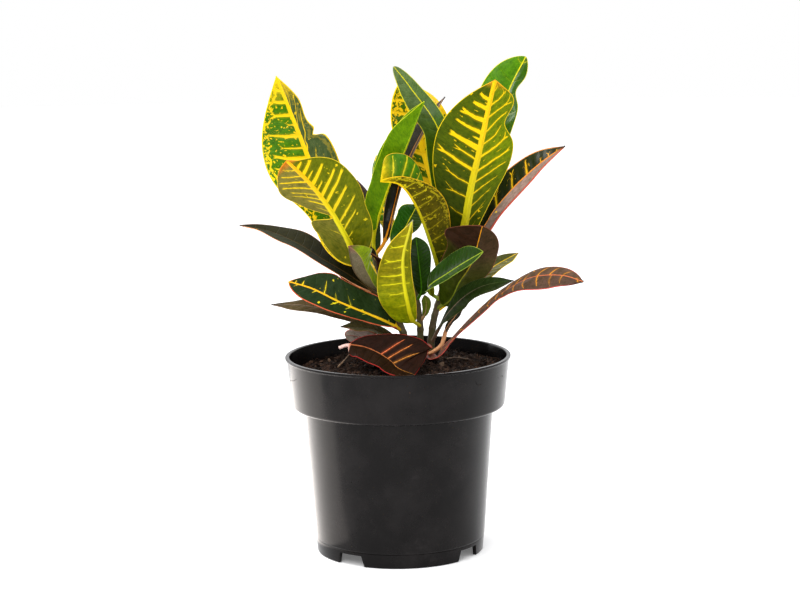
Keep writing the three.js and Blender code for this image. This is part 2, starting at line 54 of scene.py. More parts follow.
def soft_box(name, stand, aim, size, watts, hue=(1, 1, 1)):
    light = bpy.data.lights.new(name, "AREA")
    light.color = hue
    light.shape = "RECTANGLE"
    light.size, light.size_y = size
    light.energy = watts
    lamp = bpy.data.objects.new(name, light)
    lamp.location = stand
    lamp.rotation_euler = (Vector(aim) - Vector(stand)).to_track_quat("-Z", "Y").to_euler()
    lamp.visible_camera = False
    scene.collection.objects.link(lamp)


soft_box("left_box", (-1.05, 0.95, 0.35), (0, 0, 0.12), (0.75, 1.6), 13)
soft_box("right_box", (0.85, 1.3, 0.35), (0, 0, 0.12), (0.5, 1.6), 4)
soft_box("top_box", (-0.5, -0.5, 1.6), (0, 0, 0.15), (0.7, 0.7), 12)
soft_box("front_box", (-0.3, -1.2, 0.85), (0, 0, 0.2), (0.4, 0.4), 5)
soft_box("left_table", (-0.43, 0.165, 0.004), (-0.43, 0.165, 1), (0.75, 0.43), 2.3, (1, 0.91, 0.84))


def feed(target, value):
    """Links a wire to a socket, or sets the socket to a plain value."""
    if isinstance(value, Wire):
        value.tree.links.new(value.socket, target)
    elif isinstance(value, tuple) and len(value) == 3 and target.type == "RGBA":
        target.default_value = (*value, 1)
    else:
        target.default_value = value


class Wire:
    """A socket of a node tree. Arithmetic on it adds Math nodes, and add() any other node."""

    def __init__(self, tree, socket=None):
        self.tree = tree
        self.socket = socket

    def add(self, kind, sockets=(), out=0, stops=None, **settings):
        node = self.tree.nodes.new(kind)
        for name, value in settings.items():
            setattr(node, name, value)
        if stops:
            ramp = node.color_ramp
            while len(ramp.elements) < len(stops):
                ramp.elements.new(1)
            for element, (position, colour) in zip(ramp.elements, stops):
                element.position = position
                element.color = (*colour, 1)
        for name, value in dict(sockets).items():
            feed(node.inputs[name], value)
        return Wire(self.tree, node.outputs[out])

    def math(self, operation, *others):
        values = dict(enumerate((self, *others)))
        return self.add("ShaderNodeMath", values, operation=operation)

    def __add__(self, other):
        return self.math("ADD", other)

    __radd__ = __add__

    def __sub__(self, other):
        return self.math("SUBTRACT", other)

    def __rsub__(self, other):
        return self.add("ShaderNodeMath", {0: other, 1: self}, operation="SUBTRACT")

    def __mul__(self, other):
        return self.math("MULTIPLY", other)

    __rmul__ = __mul__

    def __truediv__(self, other):
        return self.math("DIVIDE", other)

    def __abs__(self):
        return self.math("ABSOLUTE")

    def larger(self, other):
        return self.math("MAXIMUM", other)

    def ramp(self, low, high):
        """0 below low and 1 above high, smoothly; low may be the greater."""
        span = {"Value": self, "From Min": low, "From Max": high}
        return self.add("ShaderNodeMapRange", span, interpolation_type="SMOOTHSTEP")

    def pick(self, off, on, blend="MIX"):
        """The colour off where this is 0, and on, or the blend with on, where it is 1."""
        colours = {0: self, 6: off, 7: on}
        return self.add("ShaderNodeMix", colours, out=2, data_type="RGBA", blend_type=blend)

    def vector(self, operation, other):
        """Vector Math of this and a second vector, or of this and a number for SCALE."""
        second = "Scale" if operation == "SCALE" else 1
        return self.add("ShaderNodeVectorMath", {0: self, second: other}, operation=operation)

    def split(self):
        return [self.add("ShaderNodeSeparateXYZ", {"Vector": self}, out=k) for k in range(3)]

    def noise(self, scale, detail=3.0, roughness=0.5):
        """Noise at this place."""
        grain = {"Vector": self, "Scale": scale, "Detail": detail, "Roughness": roughness}
        return self.add("ShaderNodeTexNoise", grain)

    def bump(self, strength, distance):
        """The normal of a surface that is raised by this height."""
        relief = {"Strength": strength, "Distance": distance, "Height": self}
        return self.add("ShaderNodeBump", relief)


def finish(name):
    """A new material, its shader, and the place on the piece that its patterns start from."""
    material = bpy.data.materials.new(name)
    material.use_nodes = True
    shader = material.node_tree.nodes["Principled BSDF"]
    return material, shader, Wire(material.node_tree).add("ShaderNodeTexCoord", out="Object")


def dress(shader, sockets):
    for name, value in sockets.items():
        feed(shader.inputs[name], value)


world = bpy.data.worlds.new("tent")
world.use_nodes = True
scene.world = world
air = Wire(world.node_tree)
seen = air.add("ShaderNodeBackground", {"Color": (1, 1, 1), "Strength": 1.0})
behind, steep = air.add("ShaderNodeTexCoord", out="Generated").split()[1:]
tent = 0.3 + steep.ramp(0.0, 0.85) * 1.25 + behind.ramp(0.8, 0.97) * 0.8
felt = air.add("ShaderNodeBackground", {"Color": (0.99, 0.99, 1.0), "Strength": tent})
direct = air.add("ShaderNodeLightPath", out="Is Camera Ray")
sky = air.add("ShaderNodeMixShader", {0: direct, 1: felt, 2: seen})
feed(world.node_tree.nodes["World Output"].inputs["Surface"], sky)

bpy.ops.mesh.primitive_circle_add(vertices=96, radius=4, fill_type="NGON")
floor = bpy.context.object
floor.name = "floor"
pale, shader, _ = finish("pale_floor")
dress(shader, {
    "Base Color": (0.93, 0.93, 0.93), "Roughness": 0.7,
    "Emission Color": (1, 1, 1), "Emission Strength": 0.15})
floor.data.materials.append(pale)

CAMERA_PLACE = (0.00176, -1.3708, 0.3764)
PITCH = math.radians(9.093)
ROLL = math.radians(-0.754)
ahead = Vector((0, math.cos(PITCH), -math.sin(PITCH)))
level_up = Vector((0, math.sin(PITCH), math.cos(PITCH)))
right = Vector((1, 0, 0)) * math.cos(ROLL) + level_up * math.sin(ROLL)
up = ahead.cross(right) * -1
turned = Matrix((right, up, -ahead)).transposed().to_4x4()
lens = bpy.data.cameras.new("camera")
lens.lens = 101.1
lens.sensor_width = 36
camera = bpy.data.objects.new("camera", lens)
camera.matrix_world = Matrix.Translation(CAMERA_PLACE) @ turned
scene.collection.objects.link(camera)
scene.camera = camera

# ---- Pot ---------------------------------------------------------------------------------
# A 14 cm nursery pot, injection-moulded in black polypropylene: a rolled lip on a deep collar,
# a tapered body, and a foot ring with four notches below a floor that is pierced by drains.
MM = 0.001
POT_HEIGHT = 122.8
RIM_RADIUS = 70
COLLAR_RADIUS = 66
COLLAR_BOTTOM = 91.3
BODY_TOP_RADIUS = 58.8
FOOT_RADIUS = 52
WALL = 1.6
FLOOR_UNDERSIDE = 8
FLOOR_TOP = 9.8
NOTCHES = 4
NOTCH_TURN = 54
NOTCH_LOW_WIDTH = 20
NOTCH_HIGH_WIDTH = 16
NOTCH_TOP = 7
DRAINS = 8
DRAIN_RADIUS = 3
DRAIN_RING = 36


def place(name, data):
    made = bpy.data.objects.new(name, data)
    scene.collection.objects.link(made)
    return made


def plain_mesh(name, shape):
    data = bpy.data.meshes.new(name)
    shape.to_mesh(data)
    shape.free()
    return data


def outward(name, shape):
    """Turns a closed bmesh's faces outwards and places it as a piece."""
    bmesh.ops.recalc_face_normals(shape, faces=shape.faces)
    return place(name, plain_mesh(name, shape))


def apply(made):
    """Makes what a piece's modifiers do part of its mesh."""
    bpy.context.view_layer.update()
    result = made.evaluated_get(bpy.context.evaluated_depsgraph_get())
    solid = bpy.data.meshes.new_from_object(result)
    made.modifiers.clear()
    made.data = solid
    return made


def settle(made, crease=0.6):
    """Applies a piece's modifiers and shades it smooth up to the crease angle."""
    apply(made)
    made.data.shade_smooth()
    made.data.set_sharp_from_angle(angle=crease)
    return made


def coat(made, material):
    made.data.materials.clear()
    made.data.materials.append(material)


def lathe(name, profile, sides):
    """A solid of revolution about Z from a closed (radius, height, fillet) profile."""
    corners = [Vector((r, z)) for r, z, fillet in profile]
    outline = []
    for i, (r, z, fillet) in enumerate(profile):
        here = corners[i]
        if fillet == 0:
            outline.append(here)
            continue
        back = (corners[i - 1] - here).normalized()
        on = (corners[i + 1] - here).normalized()
        half = back.angle(on) / 2
        run = fillet / math.tan(half)
        centre = here + (back + on).normalized() * (fillet / math.sin(half))
        start = here + back * run - centre
        end = here + on * run - centre
        sweep = start.angle_signed(end)
        steps = max(2, int(abs(sweep) / 0.26))
        for k in range(steps + 1):
            outline.append(centre + start @ Matrix.Rotation(sweep * k / steps, 2))
    mesh = bmesh.new()
    rings = []
    for point in outline:
        if point.x < 1e-6:
            rings.append([mesh.verts.new((0, 0, point.y * MM))])
            continue
        ring = []
        for j in range(sides):
            turn = 2 * math.pi * j / sides
            x = point.x * math.cos(turn)
            y = point.x * math.sin(turn)
            ring.append(mesh.verts.new((x * MM, y * MM, point.y * MM)))
        rings.append(ring)
    for lower, upper in zip(rings, rings[1:]):
        for j in range(sides):
            k = (j + 1) % sides
            quad = [lower[j % len(lower)], lower[k % len(lower)]]
            quad += [upper[k % len(upper)], upper[j % len(upper)]]
            mesh.faces.new(dict.fromkeys(quad))
    return outward(name, mesh)


pot = lathe("nursery_pot", [
    (0, FLOOR_UNDERSIDE, 0),
    (FOOT_RADIUS - 2.2, FLOOR_UNDERSIDE, 0.8),
    (FOOT_RADIUS - 2.6, 0, 0.4),
    (FOOT_RADIUS - 0.1, 0, 0.9),
    (FOOT_RADIUS + 0.6, 8.6, 0.4),
    (FOOT_RADIUS + 0.45, 9.2, 0.3),
    (FOOT_RADIUS + 0.85, 9.8, 0.4),
    (BODY_TOP_RADIUS, COLLAR_BOTTOM, 1.2),
    (COLLAR_RADIUS, COLLAR_BOTTOM, 2.4),
    (RIM_RADIUS - 1, POT_HEIGHT - 1.9, 0.3),
    (RIM_RADIUS, POT_HEIGHT - 1.2, 0.4),
    (RIM_RADIUS, POT_HEIGHT, 0.5),
    (RIM_RADIUS - 2.6, POT_HEIGHT, 0.5),
    (COLLAR_RADIUS - WALL, COLLAR_BOTTOM + WALL, 2),
    (BODY_TOP_RADIUS - WALL, COLLAR_BOTTOM + WALL, 2),
    (FOOT_RADIUS + 0.7 - WALL, FLOOR_TOP, 2),
    (0, FLOOR_TOP, 0),
], sides=180)

cutter = bmesh.new()
for i in range(NOTCHES):
    turn = Matrix.Rotation(math.radians(NOTCH_TURN + 360 / NOTCHES * i), 4, "Z")
    for corner in bmesh.ops.create_cube(cutter, size=1)["verts"]:
        x, y, z = corner.co
        width = NOTCH_LOW_WIDTH if z < 0 else NOTCH_HIGH_WIDTH
        corner.co = turn @ Vector((width * x, -50 - 14 * y, NOTCH_TOP - 4 + 8 * z)) * MM
for i in range(DRAINS):
    turn = math.radians(360 / DRAINS * (i + 0.5))
    middle = Vector((DRAIN_RING * math.cos(turn), DRAIN_RING * math.sin(turn), 9)) * MM
    bmesh.ops.create_cone(
        cutter, cap_ends=True, segments=24, radius1=DRAIN_RADIUS * MM, radius2=DRAIN_RADIUS * MM,
        depth=6 * MM, matrix=Matrix.Translation(middle))
cuts = outward("notches_and_drains", cutter)
cut = pot.modifiers.new("cut", "BOOLEAN")
cut.object = cuts
cut.solver = "EXACT"
settle(pot)
bpy.data.objects.remove(cuts)

plastic, shader, where = finish("black_plastic")
haze = where.noise(38, 5, 0.6).ramp(0.35, 0.75)
flow = where.add("ShaderNodeMapping", {"Vector": where, "Scale": (9, 9, 160)})
drag = flow.noise(5, 3)
specks = where.noise(420, 4, 0.7).ramp(0.66, 0.78) * where.noise(21, 2).ramp(0.5, 0.66)
scuffs = where.noise(55, 6, 0.75).ramp(0.56, 0.8)
dust = haze * 0.25 + specks * 0.9 + scuffs * 0.35
dress(shader, {
    "Base Color": dust.pick((0.0022, 0.0015, 0.0015), (0.027, 0.023, 0.023)),
    "Roughness": 0.13 + haze * 0.08 + drag * 0.06 + specks * 0.2,
    "Specular IOR Level": 0.12,
    "Normal": (where.noise(2600, 2) * 0.25 + drag * 0.6).bump(0.16, 0.0004)})
coat(pot, plastic)
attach(pot, "root")
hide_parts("pot")

# ---- Peat --------------------------------------------------------------------------------
# The pot is filled with coarse moist peat to 10 mm under the rim: a lumpy crust that falls
# away at the wall, loose crumbs and bark bits on it, and fine roots and moss fibres.
SOIL_EDGE = POT_HEIGHT - 10.5
SOIL_SHELF = COLLAR_BOTTOM + WALL + 0.3
CRUST_RINGS = 70
CRUST_SIDES = 200
CRUMBS_LOWEST = 105


def soil_height(x, y):
    middle = math.hypot(x - 10, y) / RIM_RADIUS
    lumps = math.sin(x / 5.1 + 1) * math.cos(y / 6.3) + math.sin((x + y) / 8.7)
    return SOIL_EDGE + 6 * max(0, 1 - middle * middle) + 0.7 * lumps


def crust_height(x, y):
    spot = Vector((x, y, 0))
    rough = noise.fractal(spot / 4.5, 0.8, 2.1, 5) * 1.3
    clods = (0.5 - noise.voronoi(spot / 6)[0][0]) * 2.0
    return soil_height(x, y) + rough + clods - 0.6


def inside_radius(z):
    """The collar's inner wall, less the clearance that the peat keeps from it."""
    share = (z - COLLAR_BOTTOM) / (POT_HEIGHT - COLLAR_BOTTOM)
    return COLLAR_RADIUS - WALL + share * (RIM_RADIUS - 1 - COLLAR_RADIUS) - 0.35


# Rings from the bottom up the wall and over the crust to its middle; None is the crust's height.
rings = [
    (FOOT_RADIUS - 1.4, FLOOR_TOP + 0.3),
    (BODY_TOP_RADIUS - WALL - 0.5, SOIL_SHELF - 0.3),
    (inside_radius(SOIL_SHELF) - 1.2, SOIL_SHELF)]
for i in range(CRUST_RINGS):
    rings.append((inside_radius(SOIL_EDGE) * (1 - (i / CRUST_RINGS) ** 1.1), None))
crust = bmesh.new()
corners = []
for radius, z in rings:
    row = []
    for j in range(CRUST_SIDES):
        turn = 2 * math.pi * j / CRUST_SIDES
        x = radius * math.cos(turn)
        y = radius * math.sin(turn)
        row.append(crust.verts.new(Vector((x, y, crust_height(x, y) if z is None else z)) * MM))
    corners.append(row)
for outer, inner in zip(corners, corners[1:]):
    for j in range(CRUST_SIDES):
        k = (j + 1) % CRUST_SIDES
        crust.faces.new((outer[j], outer[k], inner[k], inner[j]))
crust.faces.new(corners[-1])
crust.faces.new(corners[0][::-1])
peat = settle(outward("peat_fill", crust), crease=3)

# Only the open top carries crumbs.
sieve = bmesh.new()
sieve.from_mesh(peat.data)
bare = []
for face in sieve.faces:
    if face.normal.z < 0.3 or face.calc_center_median().z < CRUMBS_LOWEST * MM:
        bare.append(face)
bmesh.ops.delete(sieve, geom=bare, context="FACES")
top_mesh = plain_mesh("peat_top", sieve)

earth, shader, where = finish("moist_peat")
tone = where.noise(260, 5, 0.65)
fleck = where.noise(1500, 3, 0.6).ramp(0.55, 0.75)
dark = tone.ramp(0.3, 0.75).pick((0.005, 0.003, 0.002), (0.03, 0.016, 0.01))
dress(shader, {
    "Base Color": (fleck * 0.5).pick(dark, (0.085, 0.046, 0.028)),
    "Roughness": 0.75 + tone * 0.2,
    "Specular IOR Level": 0.1,
    "Normal": where.noise(700, 6, 0.7).bump(0.9, 0.0006)})

crumb_finish, shader, where = finish("peat_crumbs")
own = where.add("ShaderNodeAttribute", attribute_name="tint", out="Fac")
tone = own.add("ShaderNodeValToRGB", {"Fac": own}, stops=[
    (0.0, (0.003, 0.002, 0.0015)), (0.5, (0.017, 0.009, 0.006)),
    (0.9, (0.05, 0.027, 0.018)), (0.985, (0.12, 0.066, 0.042)), (1.0, (0.25, 0.17, 0.11))])
mottle = where.noise(1800, 3, 0.6)
dress(shader, {
    "Base Color": (mottle.ramp(0.3, 0.7) * 0.5).pick(tone, (0.01, 0.006, 0.004)),
    "Roughness": 0.7 + mottle * 0.25,
    "Specular IOR Level": 0.1,
    "Normal": mottle.bump(0.7, 0.0003)})


def scatter(name, carrier, values, build):
    """Runs a geometry tree of named inputs over a carrier mesh and keeps the plain result."""
    tree = bpy.data.node_groups.new(name, "GeometryNodeTree")
    tree.interface.new_socket("Geometry", in_out="INPUT", socket_type="NodeSocketGeometry")
    for label, value in values.items():
        kind = "NodeSocketInt" if isinstance(value, int) else "NodeSocketFloat"
        tree.interface.new_socket(label, in_out="INPUT", socket_type=kind)
    tree.interface.new_socket("Geometry", in_out="OUTPUT", socket_type="NodeSocketGeometry")
    source = tree.nodes.new("NodeGroupInput")
    ports = {socket.name: Wire(tree, socket) for socket in source.outputs}
    target = tree.nodes.new("NodeGroupOutput")
    feed(target.inputs[0], build(Wire(tree), ports))
    holder = place(name, carrier)
    grown = holder.modifiers.new("grow", "NODES")
    grown.node_group = tree
    for item in tree.interface.items_tree:
        if item.in_out == "INPUT" and item.name in values:
            grown[item.identifier] = values[item.name]
    return apply(holder)


def draw(wire, low, high, seed):
    """A random number for each point, or a random vector where low and high are vectors."""
    if isinstance(low, tuple):
        span = {"Min": low, "Max": high, "Seed": seed}
        return wire.add("FunctionNodeRandomValue", span, data_type="FLOAT_VECTOR")
    return wire.add("FunctionNodeRandomValue", {2: low, 3: high, "Seed": seed}, out=1)


def strew(wire, ports, shape, turn, scale, palest):
    """Copies of a shape on points of the carrier, each with a tint of its own up to 1."""
    spots = wire.add("GeometryNodeDistributePointsOnFaces", {
        "Mesh": ports["Geometry"], "Density": ports["Per square metre"], "Seed": ports["Seed"]})
    strewn = wire.add("GeometryNodeInstanceOnPoints", {
        "Points": spots, "Instance": shape, "Rotation": turn, "Scale": scale})
    strewn = wire.add("GeometryNodeStoreNamedAttribute", {
        "Geometry": strewn, "Name": "tint", "Value": draw(wire, palest, 1.0, 11)},
        domain="INSTANCE")
    return wire.add("GeometryNodeRealizeInstances", {"Geometry": strewn})


def drift(wire, grain, middle, reach):
    """A push that varies smoothly from place to place."""
    here = wire.add("GeometryNodeInputPosition")
    push = wire.add("ShaderNodeTexNoise", {"Vector": here, **grain}, out=1)
    return push.vector("SUBTRACT", middle).vector("SCALE", reach)


def crumb_tree(wire, ports):
    """Bent little lumps, thrown over the surface, turned and sized at random."""
    lump = wire.add("GeometryNodeMeshIcoSphere", {"Radius": 0.5, "Subdivisions": 1})
    bend = drift(wire, {"Scale": 1.7}, (0.5, 0.5, 0.5), 1.1)
    lump = wire.add("GeometryNodeSetPosition", {"Geometry": lump, "Offset": bend})
    turn = draw(wire, (0, 0, 0), (6.28, 6.28, 6.28), 3)
    grade = draw(wire, 0.0, 1.0, 5).math("POWER", 3.2)
    size = ports["Smallest"] + grade * (ports["Largest"] - ports["Smallest"])
    shape = draw(wire, (0.6, 0.35, 0.3), (1.5, 0.9, 0.7), 8).vector("SCALE", size)
    solid = strew(wire, ports, lump, turn, shape, 0.0)
    return wire.add("GeometryNodeSetMaterial", {"Geometry": solid, "Material": crumb_finish})


def fibre_tree(wire, ports):
    """Hair roots and moss fibres: short bent threads that lie on the crust."""
    thread = wire.add("GeometryNodeCurvePrimitiveLine", {
        "Start": (-0.5, 0, 0), "End": (0.5, 0, 0)})
    thread = wire.add("GeometryNodeResampleCurve", {"Curve": thread, "Count": 7})
    length = draw(wire, ports["Shortest"], ports["Longest"], 2)
    turn = draw(wire, (-0.35, -0.35, 0), (0.35, 0.35, 6.28), 3)
    scale = wire.add("ShaderNodeCombineXYZ", {0: length, 1: length, 2: length})
    laid = strew(wire, ports, thread, turn, scale, 0.45)
    bend = drift(wire, {"Scale": 160.0, "Detail": 1.0}, (0.5, 0.5, 0.42), 0.009)
    laid = wire.add("GeometryNodeSetPosition", {"Geometry": laid, "Offset": bend})
    section = wire.add("GeometryNodeCurvePrimitiveCircle", {
        "Resolution": 3, "Radius": ports["Thickness"] * 0.5})
    tube = wire.add("GeometryNodeCurveToMesh", {
        "Curve": laid, "Profile Curve": section, "Fill Caps": True})
    return wire.add("GeometryNodeSetMaterial", {"Geometry": tube, "Material": crumb_finish})


crumbs = scatter("peat_crumbs", top_mesh.copy(), {
    "Per square metre": 330000.0, "Smallest": 0.0009, "Largest": 0.0052, "Seed": 4}, crumb_tree)
fibres = scatter("peat_fibres", top_mesh.copy(), {
    "Per square metre": 26000.0, "Shortest": 0.003, "Longest": 0.013, "Thickness": 0.00032,
    "Seed": 9}, fibre_tree)


def smooth_line(points, count=600):
    """The Catmull-Rom curve through some points, and how far along it each sample lies."""
    knots = np.array(points, float)
    knots = np.vstack([2 * knots[0] - knots[1], knots, 2 * knots[-1] - knots[-2]])
    t = np.linspace(0, len(points) - 1, count)
    i = np.minimum(t.astype(int), len(points) - 2)
    f = (t - i)[:, None]
    a, b, c, d = (knots[i + k] for k in range(4))
    line = 2 * b + (c - a) * f + (2 * a - 5 * b + 4 * c - d) * f**2 + (3 * b - a - 3 * c + d) * f**3
    line /= 2
    run = np.concatenate([[0], np.cumsum(np.linalg.norm(np.diff(line, axis=0), axis=1))])
    return line, run


def sample(values, run, places):
    """Rows of values at some distances along a line."""
    return np.stack([np.interp(places, run, column) for column in values.T], 1)


def skin(name, rows):
    """A piece over equal rows of points in millimetres, each row a ring, with flat ends."""
    count = len(rows[0])
    points = np.concatenate(rows) * MM
    faces = []
    for i in range(len(rows) - 1):
        for j in range(count):
            k = (j + 1) % count
            faces.append((i * count + j, i * count + k, (i + 1) * count + k, (i + 1) * count + j))
    faces.append(tuple(range(count))[::-1])
    faces.append(tuple(range((len(rows) - 1) * count, len(rows) * count)))
    mesh = bpy.data.meshes.new(name)
    mesh.from_pydata(points.tolist(), [], faces)
    return settle(place(name, mesh), crease=1.2)


def litter(name, ends, radius):
    """A dry bit that lies on the crust: a bent round rod of some (x, y, lift) points."""
    points = [(x, y, soil_height(x, y) + lift) for x, y, lift in ends]
    line = smooth_line(points, 40)[0]
    heading = np.gradient(line, axis=0)
    rings = []
    for i in range(0, 40, 3):
        ahead = Vector(heading[i]).normalized()
        aside = ahead.cross(Vector((0, 0, 1))).normalized()
        over = aside.cross(ahead)
        thick = radius * (1 - 0.35 * i / 39)
        ring = []
        for j in range(8):
            turn = math.pi * j / 4
            ring.append(line[i] + np.array(aside * math.cos(turn) + over * math.sin(turn)) * thick)
        rings.append(np.array(ring))
    return skin(name, rings)


straw = litter("straw_bit", [(-37, -8, 0.8), (-33.5, -1.5, 2.6), (-30.5, 6, 5.4)], 0.55)
twig = litter("bark_twig", [(28, 3, 0.5), (35, 6, 2.0), (44, 9, 0.9)], 0.7)
for part, dry_colour in ((straw, (0.33, 0.2, 0.11)), (twig, (0.1, 0.06, 0.035))):
    dry, shader, where = finish(f"{part.name}_dry")
    grain = where.noise(900, 4, 0.6)
    dress(shader, {
        "Base Color": grain.ramp(0.35, 0.75).pick(dry_colour, (0.05, 0.03, 0.02)),
        "Roughness": 0.6 + grain * 0.2})
    coat(part, dry)
coat(peat, earth)
for part in (peat, crumbs, fibres, straw, twig):
    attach(part, "root")
    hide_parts("soil")

# ---- Stems -------------------------------------------------------------------------------
# Three rooted cuttings share the pot. Each is a woody green-brown cane, ringed where old
# leaves have dropped, that ends in a blunt growing tip among the youngest leaves.
STEM_BOTTOM = 100
STEM_SIDES = 20
STEM_STEPS = 90
RING_PITCH = 6.5
STEMS = {
    "left": ([(8, -1, 116), (3, -1, 138), (-6, 0, 160), (-14, 1, 184)], 2.6, 1.8),
    "middle": ([(13, 6, 116), (14, 4, 140), (11, 4, 165), (6, 4, 190)], 2.4, 1.6),
    "right": ([(20, 12, 116), (22, 9, 140), (28, 7, 162), (33, 6, 184)], 2.6, 1.8),
}

bark, shader, where = finish("stem_bark")
fibre = where.add("ShaderNodeMapping", {"Vector": where, "Scale": (900, 900, 160)}).noise(1, 4, 0.6)
tone = where.noise(130, 3).ramp(0.35, 0.65).pick((0.06, 0.055, 0.012), (0.075, 0.05, 0.02))
dress(shader, {
    "Base Color": (fibre.ramp(0.5, 0.8) * 0.6).pick(tone, (0.17, 0.12, 0.05)),
    "Roughness": 0.55 + fibre * 0.25,
    "Normal": fibre.bump(0.5, 0.0004)})

for stem_name, (points, thick, thin) in STEMS.items():
    line, run = smooth_line(points)
    turns = np.arange(STEM_SIDES) * 2 * math.pi / STEM_SIDES
    rows = []
    for i in range(STEM_STEPS + 1):
        share = i / STEM_STEPS
        ring_wave = (share * run[-1] / RING_PITCH + 0.3 * math.sin(share * 9)) % 1
        scar = 0.3 * math.exp(-((ring_wave - 0.5) / 0.12) ** 2)
        radius = thick + (thin - thick) * share + scar - 0.12
        wobble = 1 + 0.05 * np.sin(3 * turns + share * 8) + 0.03 * np.sin(5 * turns - share * 13)
        ring = np.stack([np.cos(turns), np.sin(turns), 0 * turns], 1) * (radius * wobble)[:, None]
        if i == 0:
            rows.append(ring + (*line[0, :2], STEM_BOTTOM))
        rows.append(ring + sample(line, run, [share * run[-1]])[0])
    last = rows[-1] - line[-1]
    for lift, shrink in ((1.0, 0.8), (1.7, 0.45)):
        rows.append(last * shrink + line[-1] + (0, 0, lift))
    cane = skin(f"{stem_name}_cane", rows)
    coat(cane, bark)
    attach(cane, "root")
    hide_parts(f"{stem_name}_stem")

# ---- Leaves ------------------------------------------------------------------------------
# Leathery blades on short stalks. A thick midrib and paired side veins carry the yellow or
# orange; the blade puffs up between them, its margin waves, and its underside is matt.
GREEN = (0.05, 0.17, 0.002)
BRIGHT = (0.13, 0.26, 0.001)
DEEP = (0.014, 0.045, 0.003)
BOTTLE = (0.011, 0.024, 0.004)
OLIVE = (0.17, 0.17, 0.003)
GOLD = (0.86, 0.56, 0.004)
LEMON = (0.68, 0.62, 0.01)
AMBER = (0.8, 0.3, 0.008)
CREAM = (0.75, 0.5, 0.3)
ROSE = (0.55, 0.2, 0.15)
RED = (0.42, 0.05, 0.03)
PLUM = (0.04, 0.016, 0.01)
UMBER = (0.055, 0.035, 0.012)
SMOKE = (0.2, 0.14, 0.1)
SOOT = (0.02, 0.017, 0.014)
STALK_HALF_WIDTH = 1.1
BLADE_HALF_THICKNESS = 0.3
RIB_GROOVE = 0.18
RIB_DROP = 1.2
BLADE_ROWS = 96
STALK_ROWS = 8


